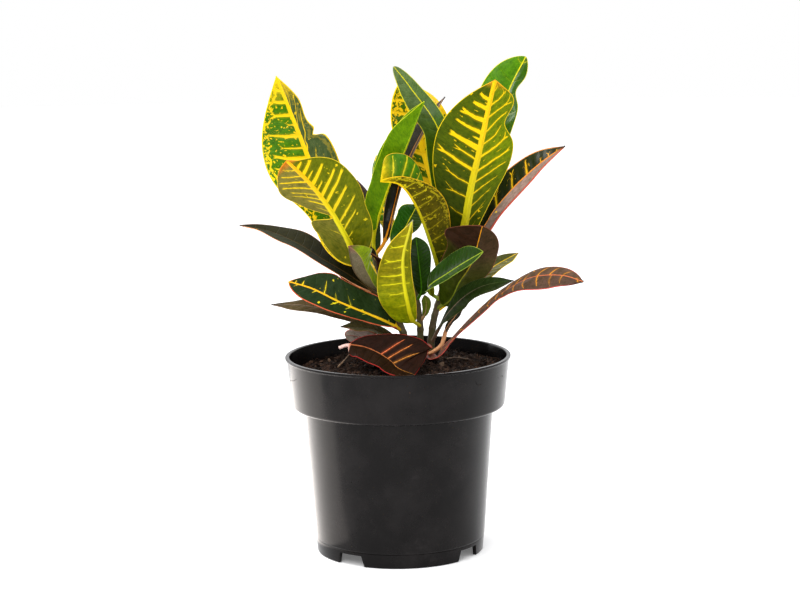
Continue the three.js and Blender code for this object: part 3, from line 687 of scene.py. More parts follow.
def leaf_face(name, ground, bold, sheen, gloss, mirror):
    """The finish of one face of every leaf, from the colours and sizes stored on its mesh.

    ground names the stored colour between the marks, bold scales how far the coloured veins show
    through on this face, sheen is its roughness, gloss its wet shine and mirror its specular level.
    """
    material, shader, where = finish(name)

    def stored(label, out="Vector"):
        return where.add("ShaderNodeAttribute", attribute_name=label, out=out)

    count, across, seed = stored("leaf_place").split()
    from_rib, from_edge, spacing = stored("leaf_reach").split()
    reach, vein_band, fork = stored("leaf_vein").split()
    rib_band, edge_band, network = stored("leaf_bands").split()
    blotch, freckle, shine = stored("leaf_habit").split()
    shifted = where.add("ShaderNodeCombineXYZ", {0: seed * 0.37, 1: seed * 0.11, 2: seed * 0.23})
    spot = where.vector("ADD", shifted)
    side = across.math("GREATER_THAN", 0.0)
    out = abs(across)

    # Side veins: each tapers to its own reach, where it forks towards its neighbours.
    ragged = spot.noise(480, 3, 0.6) - 0.5
    count = count + (spot.noise(120, 2) - 0.5) * 0.22
    number = count.math("FLOOR") + side * 31.7 + seed * 7.1
    phase = count.math("FRACT")
    dice = where.add("ShaderNodeTexWhiteNoise", {"W": number}, noise_dimensions="1D")
    split = (out - reach * (0.5 + dice * 0.45)).larger(0.0)
    forks = (dice + fork * 0.25).ramp(0.6, 0.7) * fork
    off_line = abs(abs(phase - 0.5) - split * forks) * spacing + ragged * 0.6
    width = vein_band * (1.25 - (out / reach) * 0.6 - split * forks * 0.5)
    shown = vein_band.ramp(0.03, 0.12)
    vein = off_line.ramp(width + 0.16, width - 0.12) * out.ramp(reach + 0.05, reach - 0.04) * shown

    # Thin veins halfway between, broken into dashes.
    gaps = spot.noise(330, 2).ramp(0.6, 0.66)
    half_line = (0.5 - abs(phase - 0.5)) * spacing + ragged * 1.2
    thin = half_line.ramp(vein_band * 0.3 + 0.12, vein_band * 0.3 - 0.1) * gaps
    thin = thin * vein_band.ramp(0.2, 0.5) * out.ramp(0.9, 0.6)

    # Flecks that join the vein ends inside the margin, and teeth along it.
    belt = abs(from_edge - 2.6 - abs(phase - 0.5) * 3.2) + ragged * 2.2
    belt = belt.ramp(1.1, 0.45) * spot.noise(340, 3).ramp(0.4, 0.5) * network
    fringe = from_edge.ramp(7.5, 0.5) * 0.12
    teeth = (spot.noise(560, 2) + fringe).ramp(0.645, 0.685) * network

    # Blotches run out along the veins; freckles are small specks.
    drawn = where.add("ShaderNodeCombineXYZ", {0: count * 1.7, 1: across * 1.9, 2: seed})
    cloud = drawn.noise(1.6, 4, 0.62) + ragged * 0.35
    splash = cloud.ramp(0.76 - blotch * 0.45, 0.8 - blotch * 0.45) * blotch.ramp(0.0, 0.08)
    bend = where.add("ShaderNodeTexNoise", {"Vector": spot, "Scale": 600.0}, out=1)
    bent = spot.vector("ADD", bend.vector("SCALE", 0.003))
    cells = where.add("ShaderNodeTexVoronoi", {"Vector": bent, "Scale": 230.0}, out="Distance")
    cell_dice = where.add("ShaderNodeTexVoronoi", {"Vector": bent, "Scale": 230.0}, out="Color")
    lucky, large, _ = cell_dice.split()
    bound = 0.07 + large * 0.1
    speck = cells.ramp(bound + 0.07, bound) * lucky.math("LESS_THAN", freckle)
    marks = vein.larger(thin * 0.8).larger(belt).larger(teeth).larger(splash).larger(speck * 0.85)
    marks = marks * bold

    # The ground, darker in patches and along the veins' run, and then all that lies on it.
    rib = (from_rib + ragged * 0.5).ramp(rib_band + 0.2, rib_band - 0.15)
    margin = from_edge.ramp(edge_band + 0.12 + ragged * 0.3, edge_band - 0.1)
    mottle = spot.noise(240, 4, 0.6)
    patches = mottle.ramp(0.35, 0.75) * 0.55
    streaky = drawn.noise(4.5, 4, 0.6).ramp(0.42, 0.66) * 0.6
    halo = off_line.ramp(width + 1.5, width) * out.ramp(reach, reach - 0.3) * shown * bold * 0.16
    colour = patches.pick(stored(ground, "Color"), (0.3, 0.4, 0.2), "MULTIPLY")
    colour = streaky.pick(colour, (0.45, 0.62, 0.4), "MULTIPLY")
    colour = halo.pick(colour, stored("leaf_streak", "Color"))
    colour = marks.pick(colour, stored("leaf_streak", "Color"))
    colour = rib.pick(colour, stored("leaf_rib", "Color"))
    furrow = off_line.ramp(0.0, 0.9) * 0.5 + mottle * 0.22 + spot.noise(1400, 2) * 0.12
    dress(shader, {
        "Base Color": margin.pick(colour, stored("leaf_edge", "Color")),
        "Roughness": sheen + mottle * 0.12 + marks * 0.05,
        "Coat Weight": spot.noise(55, 2).ramp(0.45, 0.62) * shine * gloss,
        "Coat Roughness": 0.19,
        "Specular IOR Level": mirror,
        "Normal": furrow.bump(0.55, 0.0005)})
    return material


upper_skin = leaf_face("leaf_upper", "leaf_upper", 1.0, 0.28, 0.6, 0.1)
under_skin = leaf_face("leaf_under", "leaf_under", 0.95, 0.42, 0.0, 0.05)
old_skin = leaf_face("old_leaf_upper", "leaf_upper", 1.0, 0.42, 0.1, 0.03)


def both(value):
    """A pair as it is, and anything else twice: a value for each half or each end of a leaf."""
    return value if isinstance(value, tuple) and len(value) == 2 else (value, value)


def blend(base, tip, share):
    """Values that pass from base to tip as the share goes from 0 to 1."""
    return np.array(base, float) * (1 - share) + np.array(tip, float) * share


def half_width(halves, outline, cuts, side, u):
    """How wide one half is, with a dent, or a bulge of less than no depth, at each cut."""
    base, tip = outline[0 if side < 0 else -1]
    peak = base / (base + tip)
    widest = peak**base * (1 - peak) ** tip
    width = halves[0 if side < 0 else 1] * u**base * (1 - u) ** tip / widest
    for cut_side, middle, depth, spread in cuts:
        if cut_side == side:
            width = width * (1 - depth * np.exp(-(((u - middle) / spread) ** 2)))
    return width


def even_veins(number, band, seed):
    """(place, reach, half width) of each side vein of one half, nearly evenly spaced."""
    dice = np.random.default_rng(seed)
    veins = []
    for k in range(number):
        place = (k + 0.55 + dice.uniform(-0.15, 0.15)) / number
        veins.append((place, dice.uniform(0.55, 0.95), band * dice.uniform(0.5, 1.3)))
    return veins


def leaf_rows(node, height, midrib, face, stalk):
    """A leaf's rows: the length of its midrib, and for each row its place along it, its share of
    the blade, its centre, and the directions ahead and up."""
    points = np.array(midrib, float)
    if height:
        cane = smooth_line(STEMS[node.split("_")[0]][0])[0]
        foot = [np.interp(height, cane[:, 2], cane[:, k]) for k in range(2)]
        points = np.vstack([(*foot, height), points])
    line, run = smooth_line(points)
    length = run[-1]
    start = stalk / length
    stalk_places = np.linspace(0, start, STALK_ROWS, endpoint=False)
    blade_places = start + (1 - start) * (1 - (1 - np.arange(BLADE_ROWS + 1) / BLADE_ROWS) ** 1.25)
    places = np.concatenate([stalk_places, blade_places])
    u = np.maximum(0, (places - start) / (1 - start))
    centre = sample(line, run, places * length)
    ahead = sample(np.gradient(line, run, axis=0), run, places * length)
    ahead /= np.linalg.norm(ahead, axis=1)[:, None]
    lift = blend(*both(face), places[:, None])
    lift -= ahead * (lift * ahead).sum(1)[:, None]
    lift /= np.linalg.norm(lift, axis=1)[:, None]
    return length, places, u, centre, ahead, lift


def half_columns(side, rows, rib_radius, width, sweep, bend, swell, puff, veins, lean):
    """The columns of one half from the midrib out. Each holds, for every row, its share of the
    half's width, the way to the midrib and to the margin, the count, reach and half width of the
    veins there, and its points."""
    u, centre, ahead, lift = rows[2:]
    sideways = np.cross(ahead, lift) * side
    vein_places, reaches, bands = np.array(veins).T
    marks = [0, *vein_places, 1]
    counts = [0, *(np.arange(len(veins)) + 0.5), len(veins)]
    inner = np.minimum(0.6, rib_radius / width)
    steps = [inner * k for k in (0.25, 0.5, 0.75, 1)]
    steps += [inner + (1 - inner) * k for k in (0.15, 0.31, 0.47, 0.63, 0.78, 0.9, 0.97, 1.0)]
    columns = []
    for x in steps:
        reach = x * width
        count = np.interp(u - lean * x - 0.03 * x * x, marks, counts)
        room = np.minimum(1, np.maximum(0, reach - rib_radius) / 3) * (1 - x**4)
        pillow = np.sin(math.pi * ((count + 0.5) % 1)) ** 0.7 * room * np.minimum(1, width / 12)
        rise = x * x * np.minimum(1, width / 6) * swell + puff * pillow
        point = centre + sideways * (reach * np.cos(sweep) * np.cos(bend))[:, None]
        point = point + ahead * (reach * np.sin(sweep))[:, None]
        point = point + lift * (reach * np.cos(sweep) * np.sin(bend) + rise)[:, None]
        vein = np.minimum(count.astype(int), len(veins) - 1)
        columns.append((side * x, reach, width - reach, count, reaches[vein], bands[vein], point))
    return columns


def two_faces(sheet, x, from_rib, rib_radius, share, lift):
    """The upper and under face of a leaf about its middle sheet: a thin blade with a rounded
    margin and a midrib that stands out below, which becomes the round stalk at its foot."""
    normal = np.cross(np.gradient(sheet, axis=1), np.gradient(sheet, axis=0))
    normal /= np.linalg.norm(normal, axis=2)[..., None]
    rounded = np.sqrt(np.clip(1 - ((np.abs(x) - 0.88).clip(0) / 0.12) ** 2, 0, 1))
    ridge = np.sqrt(np.clip(1 - (from_rib / rib_radius[:, None]) ** 2, 0, 1))
    stalk = STALK_HALF_WIDTH * np.sqrt(np.clip(1 - x * x, 0, 1))
    early = np.clip(1 - share / 0.1, 0, 1)
    blade = BLADE_HALF_THICKNESS * rounded
    top = (blade - RIB_GROOVE * ridge * (1 - share)) * (1 - early) + 0.8 * stalk * early
    low = (blade + (RIB_DROP - share) * ridge) * (1 - early) + 1.3 * stalk * early
    spread = 1 / np.maximum(0.5, np.abs((normal * lift[:, None]).sum(2)))
    upper_sheet = sheet + normal * (top * np.where(x == 0, spread, 1))[..., None]
    return upper_sheet, sheet - normal * low[..., None]


def with_underside(grid):
    """The values of the upper points, then of the points that only the underside has."""
    width = grid.shape[-1]
    return np.concatenate([grid.reshape(-1, width), grid[:, 1:-1].reshape(-1, width)])


def leaf_shell(name, upper_sheet, under_sheet, skins):
    """One closed mesh of two sheets that share their side edges, each in a skin of its own."""
    rows, width = upper_sheet.shape[:2]
    points = np.concatenate([upper_sheet.reshape(-1, 3), under_sheet[:, 1:-1].reshape(-1, 3)])
    top = np.arange(rows * width).reshape(rows, width)
    low = rows * width + np.arange(rows * (width - 2)).reshape(rows, width - 2)
    low = np.concatenate([top[:, :1], low, top[:, -1:]], 1)
    faces = []
    for grid, order in ((top, 1), (low, -1)):
        quads = np.stack([grid[:-1, :-1], grid[:-1, 1:], grid[1:, 1:], grid[1:, :-1]], -1)
        faces += [tuple(quad)[::order] for quad in quads.reshape(-1, 4).tolist()]
    for row, order in ((0, -1), (-1, 1)):
        ring = [*top[row].tolist(), *low[row, 1:-1][::-1].tolist()]
        faces.append(tuple(ring)[::order])
    mesh = bpy.data.meshes.new(name)
    mesh.from_pydata((points * MM).tolist(), [], faces)
    for material in skins:
        mesh.materials.append(material)
    quad_count = (rows - 1) * (width - 1)
    mesh.polygons.foreach_set(
        "material_index", np.repeat([0, 1], [quad_count, quad_count + 2]).astype(np.int32))
    mesh.shade_smooth()
    return mesh


def grow(node, height, halves, midrib, face, outline=((0.8, 0.8),), cuts=(), slant=35, fold=10,
         cup=0, wave=1, waves=2, wave_start=0, puff=0.45, stalk=10, stalk_half=STALK_HALF_WIDTH,
         upper=GREEN, under=OLIVE, streak=GOLD, rib=GOLD, edge=GOLD, tip=None, tip_start=0.9,
         base=None, base_end=0.5, foot_hue=None, rib_band=0.5, edge_band=0.35, veins=11,
         vein_band=0, lean=0, fork=0, network=0, blotch=0, freckle=0, shine=0.5, old=False):
    """One leaf, from its foot at some height on the stem that its name begins with to its tip.

    A pair holds a value for the left and the right half or, for face, streak and rib, one for the
    foot and one for the tip. Sizes are in millimetres and turns in degrees.

    midrib: points that the leaf's middle passes through; face: which way its upper side looks.
    halves: greatest half widths; outline: for both halves or each, the powers of the distances to
    foot and tip that its width follows; cuts: (side, middle, depth, spread) of dents in a margin.
    slant: how far the side veins lead forward; fold: how far a half is turned up; cup: how far
    the margin rises; wave, waves, wave_start: the height, number and phase of its waves; puff:
    how far the blade swells between veins; stalk, stalk_half: the stalk's length and half width.
    base, tip: colours of the blade's ends, up to base_end and from tip_start on; a base much
    darker than the blade is painted shade from the leaves above, a lighter one the foot's own
    colour. foot_hue: the stalk's colour; bands: half widths of the marks; fork, network, blotch,
    freckle: how much of each there is. veins: the number in a half, or (place, reach, half width)
    rows for each half; lean: how far they shift along the margin. shine: how wet it looks; old:
    dull and leathery.
    """
    rows = leaf_rows(node, height, midrib, face, stalk)
    length, places, u, centre, _, lift = rows
    halves = both(halves)
    rib_radius = (1.25 - 0.95 * u) * min(1.1, 0.6 + max(halves) / 40)
    sweep = math.radians(slant) * (1 - u**3) * np.minimum(1, u * 4)
    seed = sum(ord(letter) * k for k, letter in enumerate(node)) % 97
    if not isinstance(veins, tuple):
        veins = (even_veins(veins, vein_band, seed), even_veins(veins, vein_band, seed + 1))

    columns = []
    for half, side in enumerate((-1, 1)):
        width = np.maximum(stalk_half * (1 - 0.7 * u), half_width(halves, outline, cuts, side, u))
        bend = math.radians(both(fold)[half]) * np.minimum(1, u * 8)
        ripple = wave * np.sin(2 * math.pi * (waves * u + wave_start + (0.35 if side < 0 else 0)))
        made = half_columns(side, rows, rib_radius, width, sweep, bend, cup + ripple, puff,
                            veins[half], both(lean)[half])
        if side < 0:
            middle = (0 * u, 0 * u, width, *made[0][3:6], centre)
            made = [*made[::-1], middle]
        columns += made
    x, from_rib, from_edge, count, vein_reach, vein_half, sheet = (
        np.stack(layer, 1) for layer in zip(*columns))
    share = u[:, None]
    upper_sheet, under_sheet = two_faces(sheet, x, from_rib, rib_radius, share, lift)
    skins = (old_skin if old else upper_skin, under_skin)
    mesh = leaf_shell(f"{node}_blade", upper_sheet, under_sheet, skins)

    def keep(label, *layers):
        """Stores layers of values on the points, three as a vector and four as a colour."""
        kind = "color" if len(layers) == 4 else "vector"
        values = with_underside(np.stack(np.broadcast_arrays(*layers, x)[:-1], -1))
        attribute = mesh.attributes.new(label, f"FLOAT_{kind.upper()}", "POINT")
        attribute.data.foreach_set(kind, values.astype(np.float32).ravel())

    def keep_colour(label, colours):
        keep(label, *np.moveaxis(colours, -1, 0), 1)

    def passing(colours, start):
        """The first colour up to start, passing smoothly into the second at the tip."""
        done = np.clip((share - start) / (1 - start), 0, 1)[..., None]
        return blend(*both(colours), done * done * (3 - 2 * done))

    def halved(value):
        return np.where(x > 0, *both(value)[::-1])

    on_stalk = np.clip(1 - share / 0.03, 0, 1)
    keep("leaf_place", count, x, seed)
    keep("leaf_reach", from_rib, from_edge,
         length / np.maximum(1, np.gradient(count, places, axis=0)))
    keep("leaf_vein", vein_reach, vein_half, fork)
    keep("leaf_bands", rib_band * (1 - 0.6 * share) + 9 * on_stalk,
         edge_band * (1 - on_stalk) - 0.2 * on_stalk, halved(network))
    keep("leaf_habit", halved(blotch) * (0.55 + 0.9 * share), freckle, shine)
    for label, pair in (("leaf_upper", both(upper)), ("leaf_under", both(under))):
        colours = np.where(x[..., None] > 0, pair[1], pair[0])
        # A base much darker than the blade is painted shade from the leaves above; a lighter one is
        # the foot's own colour.
        if base:
            colours = blend(colours, base, np.clip(1 - share / base_end, 0, 1)[..., None] ** 0.7)
        if tip:
            late = np.clip((share - tip_start) / (1 - tip_start), 0, 1)
            colours = blend(colours, tip, late[..., None])
        keep_colour(label, colours)
    rib_colours = passing(rib, 0.3)
    if foot_hue:
        rib_colours = blend(rib_colours, foot_hue, on_stalk[..., None])
    keep_colour("leaf_rib", rib_colours)
    keep_colour("leaf_streak", passing(streak, 0.3))
    keep_colour("leaf_edge", passing((edge, tip or edge), 0.9))

    blade = place(f"{node}_blade", mesh)
    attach(blade, "root")
    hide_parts(node)


# Its dark green base is painted shade from the leaves above.
grow("left_leaf_01", 174, halves=(29, 18.5), outline=[(0.95, 1)],
     midrib=[(-29, 9, 187), (-46, 16, 224), (-60, 21, 260), (-73, 22, 294.7)],
     face=(0.1, -1, 0.25),
     cuts=[(-1, 0.27, 0.38, 0.13), (1, 0.745, 0.4, 0.09), (1, 0.665, 0.35, 0.018)], slant=22,
     fold=(5, 12), wave_start=0.1,
     upper=((0.07, 0.2, 0.002), (0.07, 0.1, 0.03)), tip=GOLD, tip_start=0.86,
     base=(0.03, 0.09, 0.001),
     rib_band=2.4, edge_band=0.7, lean=(0, 0.24), fork=2, network=(1, 0.15), freckle=0.6,
     veins=([(0.12, 0.7, 0.5), (0.22, 0.8, 0.6), (0.32, 0.8, 0.8), (0.42, 0.75, 0.7),
             (0.52, 0.8, 0.8), (0.585, 0.75, 1.2), (0.637, 0.55, 0.5), (0.7, 0.8, 0.95),
             (0.755, 0.3, 0.3), (0.805, 0.85, 0.9), (0.872, 0.9, 1), (0.93, 0.9, 0.9)],
            [(0.2, 0.6, 0.3), (0.35, 0.6, 0.4), (0.5, 0.4, 0.5), (0.6, 0.75, 0.8),
             (0.7, 0.85, 0.4), (0.8, 0.9, 0.35), (0.88, 0.85, 0.3), (0.94, 0.8, 0.25)]))
grow("left_leaf_02", 166, halves=(28, 22), outline=[(0.8, 0.95), (0.5, 0.4)],
     midrib=[(-23.5, -14, 185), (-31, -24, 201), (-40, -30, 218), (-51.5, -34, 234),
             (-64.6, -36, 247.7)],
     face=(0.05, 1, 0.3), cuts=[(1, 0.44, 0.93, 0.045), (1, 0.5, 0.35, 0.13)], fold=(6, 10),
     cup=-2, wave=1.2, wave_start=0.4, puff=0.6, stalk=26,
     under=((0.13, 0.145, 0.001), (0.2, 0.165, 0.03)), streak=((0.66, 0.5, 0.01), GOLD),
     rib=((0.62, 0.55, 0.01), (0.85, 0.42, 0.008)), edge=(0.7, 0.5, 0.02), tip=(0.7, 0.2, 0.01),
     tip_start=0.94, base=(0.12, 0.12, 0.002),
     rib_band=2.3, lean=(0, 0.08), fork=0.6, freckle=0.3,
     veins=([(0.14, 0.2, 0.2), (0.24, 0.25, 0.3), (0.31, 0.6, 0.5), (0.38, 0.75, 0.6),
             (0.48, 0.68, 0.95), (0.565, 0.9, 0.8), (0.63, 0.78, 0.9), (0.685, 0.3, 0.5),
             (0.74, 0.75, 0.95), (0.79, 0.4, 0.4), (0.84, 0.85, 0.9), (0.9, 0.75, 0.7)],
            [(0.15, 0.3, 0), (0.27, 0.4, 0.15), (0.36, 0.4, 0), (0.48, 0.5, 0.2), (0.55, 0.5, 0.5),
             (0.6, 0.75, 0.3), (0.645, 0.7, 0.22), (0.71, 0.85, 0.38), (0.78, 0.88, 0.42),
             (0.84, 0.75, 0.25), (0.9, 0.6, 0.2)]))
grow("left_leaf_03", 180, halves=(17, 16), outline=[(0.75, 0.95)],
     midrib=[(-14, -3, 198), (-5, -7, 227), (6, -8, 251), (18, -8, 280)],
     face=(-1, 0.1, 0.3), fold=70, wave=0.6, puff=0.25, stalk=20,
     upper=(0.1, 0.22, 0.001), under=BRIGHT, rib=(LEMON, (0.2, 0.35, 0.01)),
     edge=(0.45, 0.5, 0.01),
     rib_band=0.6, edge_band=0.3, veins=12, shine=0.3)
# Its near-black base is painted shade from the leaves above, and its pale grey-purple tip is a
# painted sheen.
grow("left_leaf_04", 184, halves=(9, 8), outline=[(0.8, 1)],
     midrib=[(-6, 5, 196), (4, 11, 232), (15, 14, 256), (31, 15, 281)],
     face=(-0.2, -1, 0.2), fold=(10, 65), wave=0.6, puff=0.2,
     upper=((0.02, 0.02, 0.01), (0.03, 0.024, 0.014)), under=SMOKE, rib=(AMBER, CREAM),
     edge=(0.4, 0.2, 0.05), tip=(0.13, 0.11, 0.11), tip_start=0.35, base=(0.006, 0.006, 0.004),
     rib_band=0.8, veins=12, shine=1)
grow("left_leaf_05", 177, halves=6, outline=[(0.8, 0.9)],
     midrib=[(-13, 9, 192), (-16, 17, 208), (-24, 26, 229)],
     face=(0.1, -1, 0.3), fold=15, wave=0.6, puff=0.2, stalk=8,
     upper=(0.02, 0.035, 0.008), under=SMOKE, rib=(DEEP, SMOKE), edge=PLUM, tip=(0.1, 0.04, 0.06),
     tip_start=0.7,
     old=True)
grow("left_leaf_06", 158, halves=(9, 17), outline=[(2, 0.8), (1.3, 0.8)],
     midrib=[(-14, -15, 167), (-21, -24, 173.5), (-26, -30, 182), (-28.5, -37, 196)],
     face=(0.5, -0.8, 0.2), slant=14, fold=(110, 5), wave=0.6, puff=0.2, stalk=8,
     upper=(0.3, 0.4, 0.01), under=(0.13, 0.1, 0.06), rib=UMBER, edge=(0.3, 0.3, 0.03),
     tip=(0.2, 0.08, 0.06))
grow("left_leaf_07", 176, halves=6, outline=[(0.8, 0.9)],
     midrib=[(-12, -6, 184), (-18, -8, 189), (-25, -9, 191)],
     face=(0.1, -0.4, 1), fold=20, wave=0.4, puff=0.2, stalk=6,
     upper=(0.016, 0.012, 0.003), under=PLUM, rib=PLUM, edge=(0.3, 0.1, 0.03),
     old=True)
# Its near-black base is painted shade from the leaves above.
grow("left_leaf_08", 154, halves=(11, 12), outline=[(0.8, 0.95)],
     midrib=[(-30, 14, 171), (-45, 26, 178.5), (-63, 52, 186), (-82, 78, 190.5),
             (-103.2, 99, 192.5)],
     face=(0.1, -0.5, 1), fold=15, wave=0.8, wave_start=0.2, puff=0.12, stalk=14,
     upper=((0.02, 0.022, 0.003), (0.02, 0.018, 0.003)), under=(0.42, 0.26, 0.19), rib=UMBER,
     edge=(0.7, 0.3, 0.14), tip=SOOT, base=(0.006, 0.006, 0.001),
     veins=13, freckle=0.06, shine=0, old=True)
grow("left_leaf_09", 138, halves=(12, 19), outline=[(1.1, 0.8), (0.6, 0.8)],
     midrib=[(-8, -12, 146), (-18, -12, 150.5), (-35, -10, 157.5), (-52, 0, 164.5),
             (-67.5, 12, 167.5)],
     face=(0.15, -0.75, 0.65), fold=5, wave=0.8, stalk=5,
     upper=((0.014, 0.03, 0.008), (0.014, 0.028, 0.006)), under=PLUM, streak=(LEMON, GOLD),
     rib=((0.7, 0.42, 0.01), (0.85, 0.4, 0.008)), edge=(0.55, 0.1, 0.04), tip=(0.7, 0.25, 0.02),
     tip_start=0.96,
     rib_band=1.1, edge_band=0.6, freckle=0.45, shine=0.2, old=True,
     veins=([(0.15, 0.2, 0.2), (0.3, 0.3, 0.2), (0.42, 0.35, 0.22), (0.52, 0.45, 0.25),
             (0.6, 0.3, 0), (0.72, 0.3, 0.3), (0.8, 0.3, 0), (0.9, 0.5, 0.2)],
            [(0.15, 0.3, 0), (0.3, 0.25, 0), (0.42, 0.4, 0.1), (0.55, 0.3, 0.1), (0.65, 0.6, 0.2),
             (0.75, 0.35, 0), (0.86, 0.4, 0.3), (0.93, 0.5, 0.2)]))
grow("left_leaf_10", 142, halves=9, outline=[(0.8, 0.9)],
     midrib=[(-14, 8, 142), (-33, 15, 146), (-58, 26, 150), (-80, 38, 149)],
     face=(0, -0.4, 1), cup=-1, wave=0.6, stalk=12,
     upper=(0.09, 0.06, 0.025), under=SMOKE, rib=SMOKE, edge=SMOKE, tip=SOOT, tip_start=0.85,
     rib_band=0.4, old=True)
grow("left_leaf_11", 127, halves=8, outline=[(0.8, 1)],
     midrib=[(-5, -2, 134), (-17, -5, 140), (-35, -10, 142.5)],
     face=(0, -0.4, 1), wave=0.5, stalk=7,
     upper=(0.09, 0.075, 0.025), under=SMOKE, rib=UMBER, edge=(0.2, 0.1, 0.05), tip=SOOT,
     rib_band=0.4, old=True)
grow("left_leaf_12", 122, halves=8, outline=[(0.7, 0.5)],
     midrib=[(-8, 4, 129), (-20, 5, 133), (-33, 6, 135)],
     face=(0, 0.8, 0.7), fold=5, cup=-1, wave=0.4, stalk=8,
     upper=(0.85, 0.66, 0.6), under=(0.85, 0.66, 0.6), rib=ROSE, edge=(0.8, 0.3, 0.25),
     edge_band=0.5, old=True)
grow("left_leaf_13", 168, halves=17,
     midrib=[(-20, 22, 182), (-38, 46, 210), (-54, 62, 234)],
     face=(0.6, -0.7, 0.5), cup=-1, stalk=12,
     rib_band=1.6, edge_band=0.5, vein_band=0.7, veins=10, network=0.7, blotch=0.2, freckle=0.3)
grow("left_leaf_14", 148, halves=13,
     midrib=[(-16, 20, 158), (-36, 50, 172), (-50, 80, 176)],
     face=(0.3, -0.5, 1), cup=-1, stalk=12,
     upper=(BOTTLE, DEEP), under=(PLUM, UMBER), streak=(GOLD, AMBER), rib=(GOLD, AMBER), edge=RED,
     rib_band=1, vein_band=0.4, freckle=0.3, old=True)
grow("middle_leaf_01", 140, halves=(6, 18), outline=[(0.5, 0.8), (0.5, 1.05)],
     midrib=[(9, -12, 147), (6.5, -22, 158), (4.3, -27, 172.5), (4.1, -31, 188.5),
             (8.3, -34, 205.5), (10, -34, 211)],
     face=(0.1, 1, 0.1), slant=12, fold=(25, 10), wave=0.8, waves=3, puff=0.6, stalk=14,
     under=((0.22, 0.205, 0.003), (0.24, 0.2, 0.003)), streak=LEMON,
     rib=(LEMON, (0.55, 0.5, 0.03)), edge=(0.7, 0.5, 0.02), tip=(0.25, 0.25, 0.14), tip_start=0.93,
     base=(0.32, 0.36, 0.003),
     rib_band=1.35, edge_band=0.45, lean=(-0.05, -0.1), fork=0.8,
     veins=([(0.15, 0.4, 0), (0.3, 0.4, 0), (0.45, 0.6, 0.2), (0.6, 0.6, 0.2), (0.75, 0.6, 0.2),
             (0.9, 0.5, 0)],
            [(0.12, 0.4, 0), (0.25, 0.5, 0.12), (0.375, 0.6, 0.22), (0.46, 0.82, 0.28),
             (0.535, 0.86, 0.4), (0.6, 0.4, 0.1), (0.66, 0.82, 0.3), (0.78, 0.82, 0.3),
             (0.88, 0.7, 0.15)]))
grow("middle_leaf_02", 184, halves=(10, 9), outline=[(0.7, 0.55)],
     midrib=[(2, 0, 194), (7, -1, 205), (13, -2, 216)],
     face=(0.1, -1, 0.3), wave=0.5, puff=0.5, stalk=5,
     upper=((0.02, 0.1, 0.002), (0.035, 0.07, 0.005)), rib=LEMON, edge=LEMON,
     rib_band=0.4, edge_band=0.25, veins=14, shine=1)
grow("middle_leaf_03", 156, halves=(8, 9), outline=[(0.7, 0.6)],
     midrib=[(15, -3, 164), (14, -6, 178), (12, -7, 197)],
     face=(0, -1, 0.2), wave=0.5, stalk=6,
     upper=((0.012, 0.036, 0.001), (0.016, 0.05, 0.002)), rib=GREEN, edge=(0.15, 0.22, 0.03),
     edge_band=0.25, veins=14)
grow("middle_leaf_04", 142, halves=3.5,
     midrib=[(17, 1, 148), (18, 0, 154), (17, 0, 160)],
     face=(0, -1, 0.3), wave=0.3, stalk=5,
     upper=(0.12, 0.15, 0.01), rib=((0.35, 0.2, 0.1), OLIVE), edge=SMOKE,
     rib_band=0.4)
grow("middle_leaf_05", 184, halves=14,
     midrib=[(-1, 14, 196), (-9, 34, 216), (-12, 50, 242)],
     face=(-1, -0.3, 0.3), cup=-1, stalk=12,
     rib_band=1.5, vein_band=0.7, veins=10, network=0.7, blotch=0.2)
grow("middle_leaf_06", 150, halves=14,
     midrib=[(4, 26, 160), (-8, 54, 170), (-16, 82, 170)],
     face=(0, -0.4, 1), cup=-1, stalk=12,
     upper=(DEEP, BOTTLE), under=UMBER, rib=(GOLD, AMBER), edge=AMBER,
     rib_band=0.9, vein_band=0.45, freckle=0.3, old=True)
# Its dark base is painted shade from the leaves above.
grow("right_leaf_01", 176, halves=(21, 29), outline=[(1.35, 0.95), (1.35, 1)],
     midrib=[(40, -5, 196), (46, -14, 229), (51, -19, 251), (56, -23, 275), (60.3, -25, 293.5)],
     face=(-0.1, 1, 0.2), cuts=[(-1, 0.765, 0.3, 0.07), (-1, 0.97, -0.95, 0.09)], slant=18, fold=6,
     cup=-1, wave=1.2, wave_start=0.3, puff=0.7, stalk=8,
     under=((0.15, 0.2, 0.001), (0.075, 0.105, 0.001)),
     rib=((0.6, 0.52, 0.01), (0.88, 0.5, 0.006)), edge=(0.72, 0.52, 0.01), tip=(0.75, 0.33, 0.01),
     tip_start=0.95, base=(0.024, 0.032, 0.001), base_end=0.6,
     rib_band=2.8, edge_band=0.45, lean=(0.11, 0.01), fork=1, freckle=0.1,
     veins=([(0.14, 0.6, 0.2), (0.22, 0.7, 0.25), (0.3, 0.7, 0.2), (0.37, 0.75, 0.35),
             (0.44, 0.85, 0.45), (0.505, 0.87, 0.62), (0.585, 0.88, 0.65), (0.65, 0.8, 0.42),
             (0.715, 0.86, 0.5), (0.79, 0.9, 0.5), (0.86, 0.82, 0.45), (0.93, 0.7, 0.3)],
            [(0.14, 0.5, 0), (0.26, 0.6, 0.15), (0.36, 0.65, 0.25), (0.435, 0.65, 0.35),
             (0.515, 0.9, 0.85), (0.575, 0.55, 0.45), (0.635, 0.72, 1.5), (0.68, 0.2, 0.6),
             (0.715, 0.72, 0.95), (0.78, 0.75, 1.05), (0.845, 0.58, 1.1), (0.895, 0.6, 1.1)]))
grow("right_leaf_02", 180, halves=(20, 11), outline=[(0.9, 0.6)],
     midrib=[(41, 12, 195), (53, 22, 229), (65, 28, 265), (72, 31, 285), (82, 33, 304)],
     face=(-0.1, -1, 0.3), cuts=[(1, 0.82, 0.5, 0.07)], fold=8, cup=-1,
     upper=((0.09, 0.25, 0.002), (0.04, 0.12, 0.001)), streak=LEMON, rib=LEMON, edge=LEMON,
     rib_band=0.85, edge_band=0.4, vein_band=0.08, shine=1)
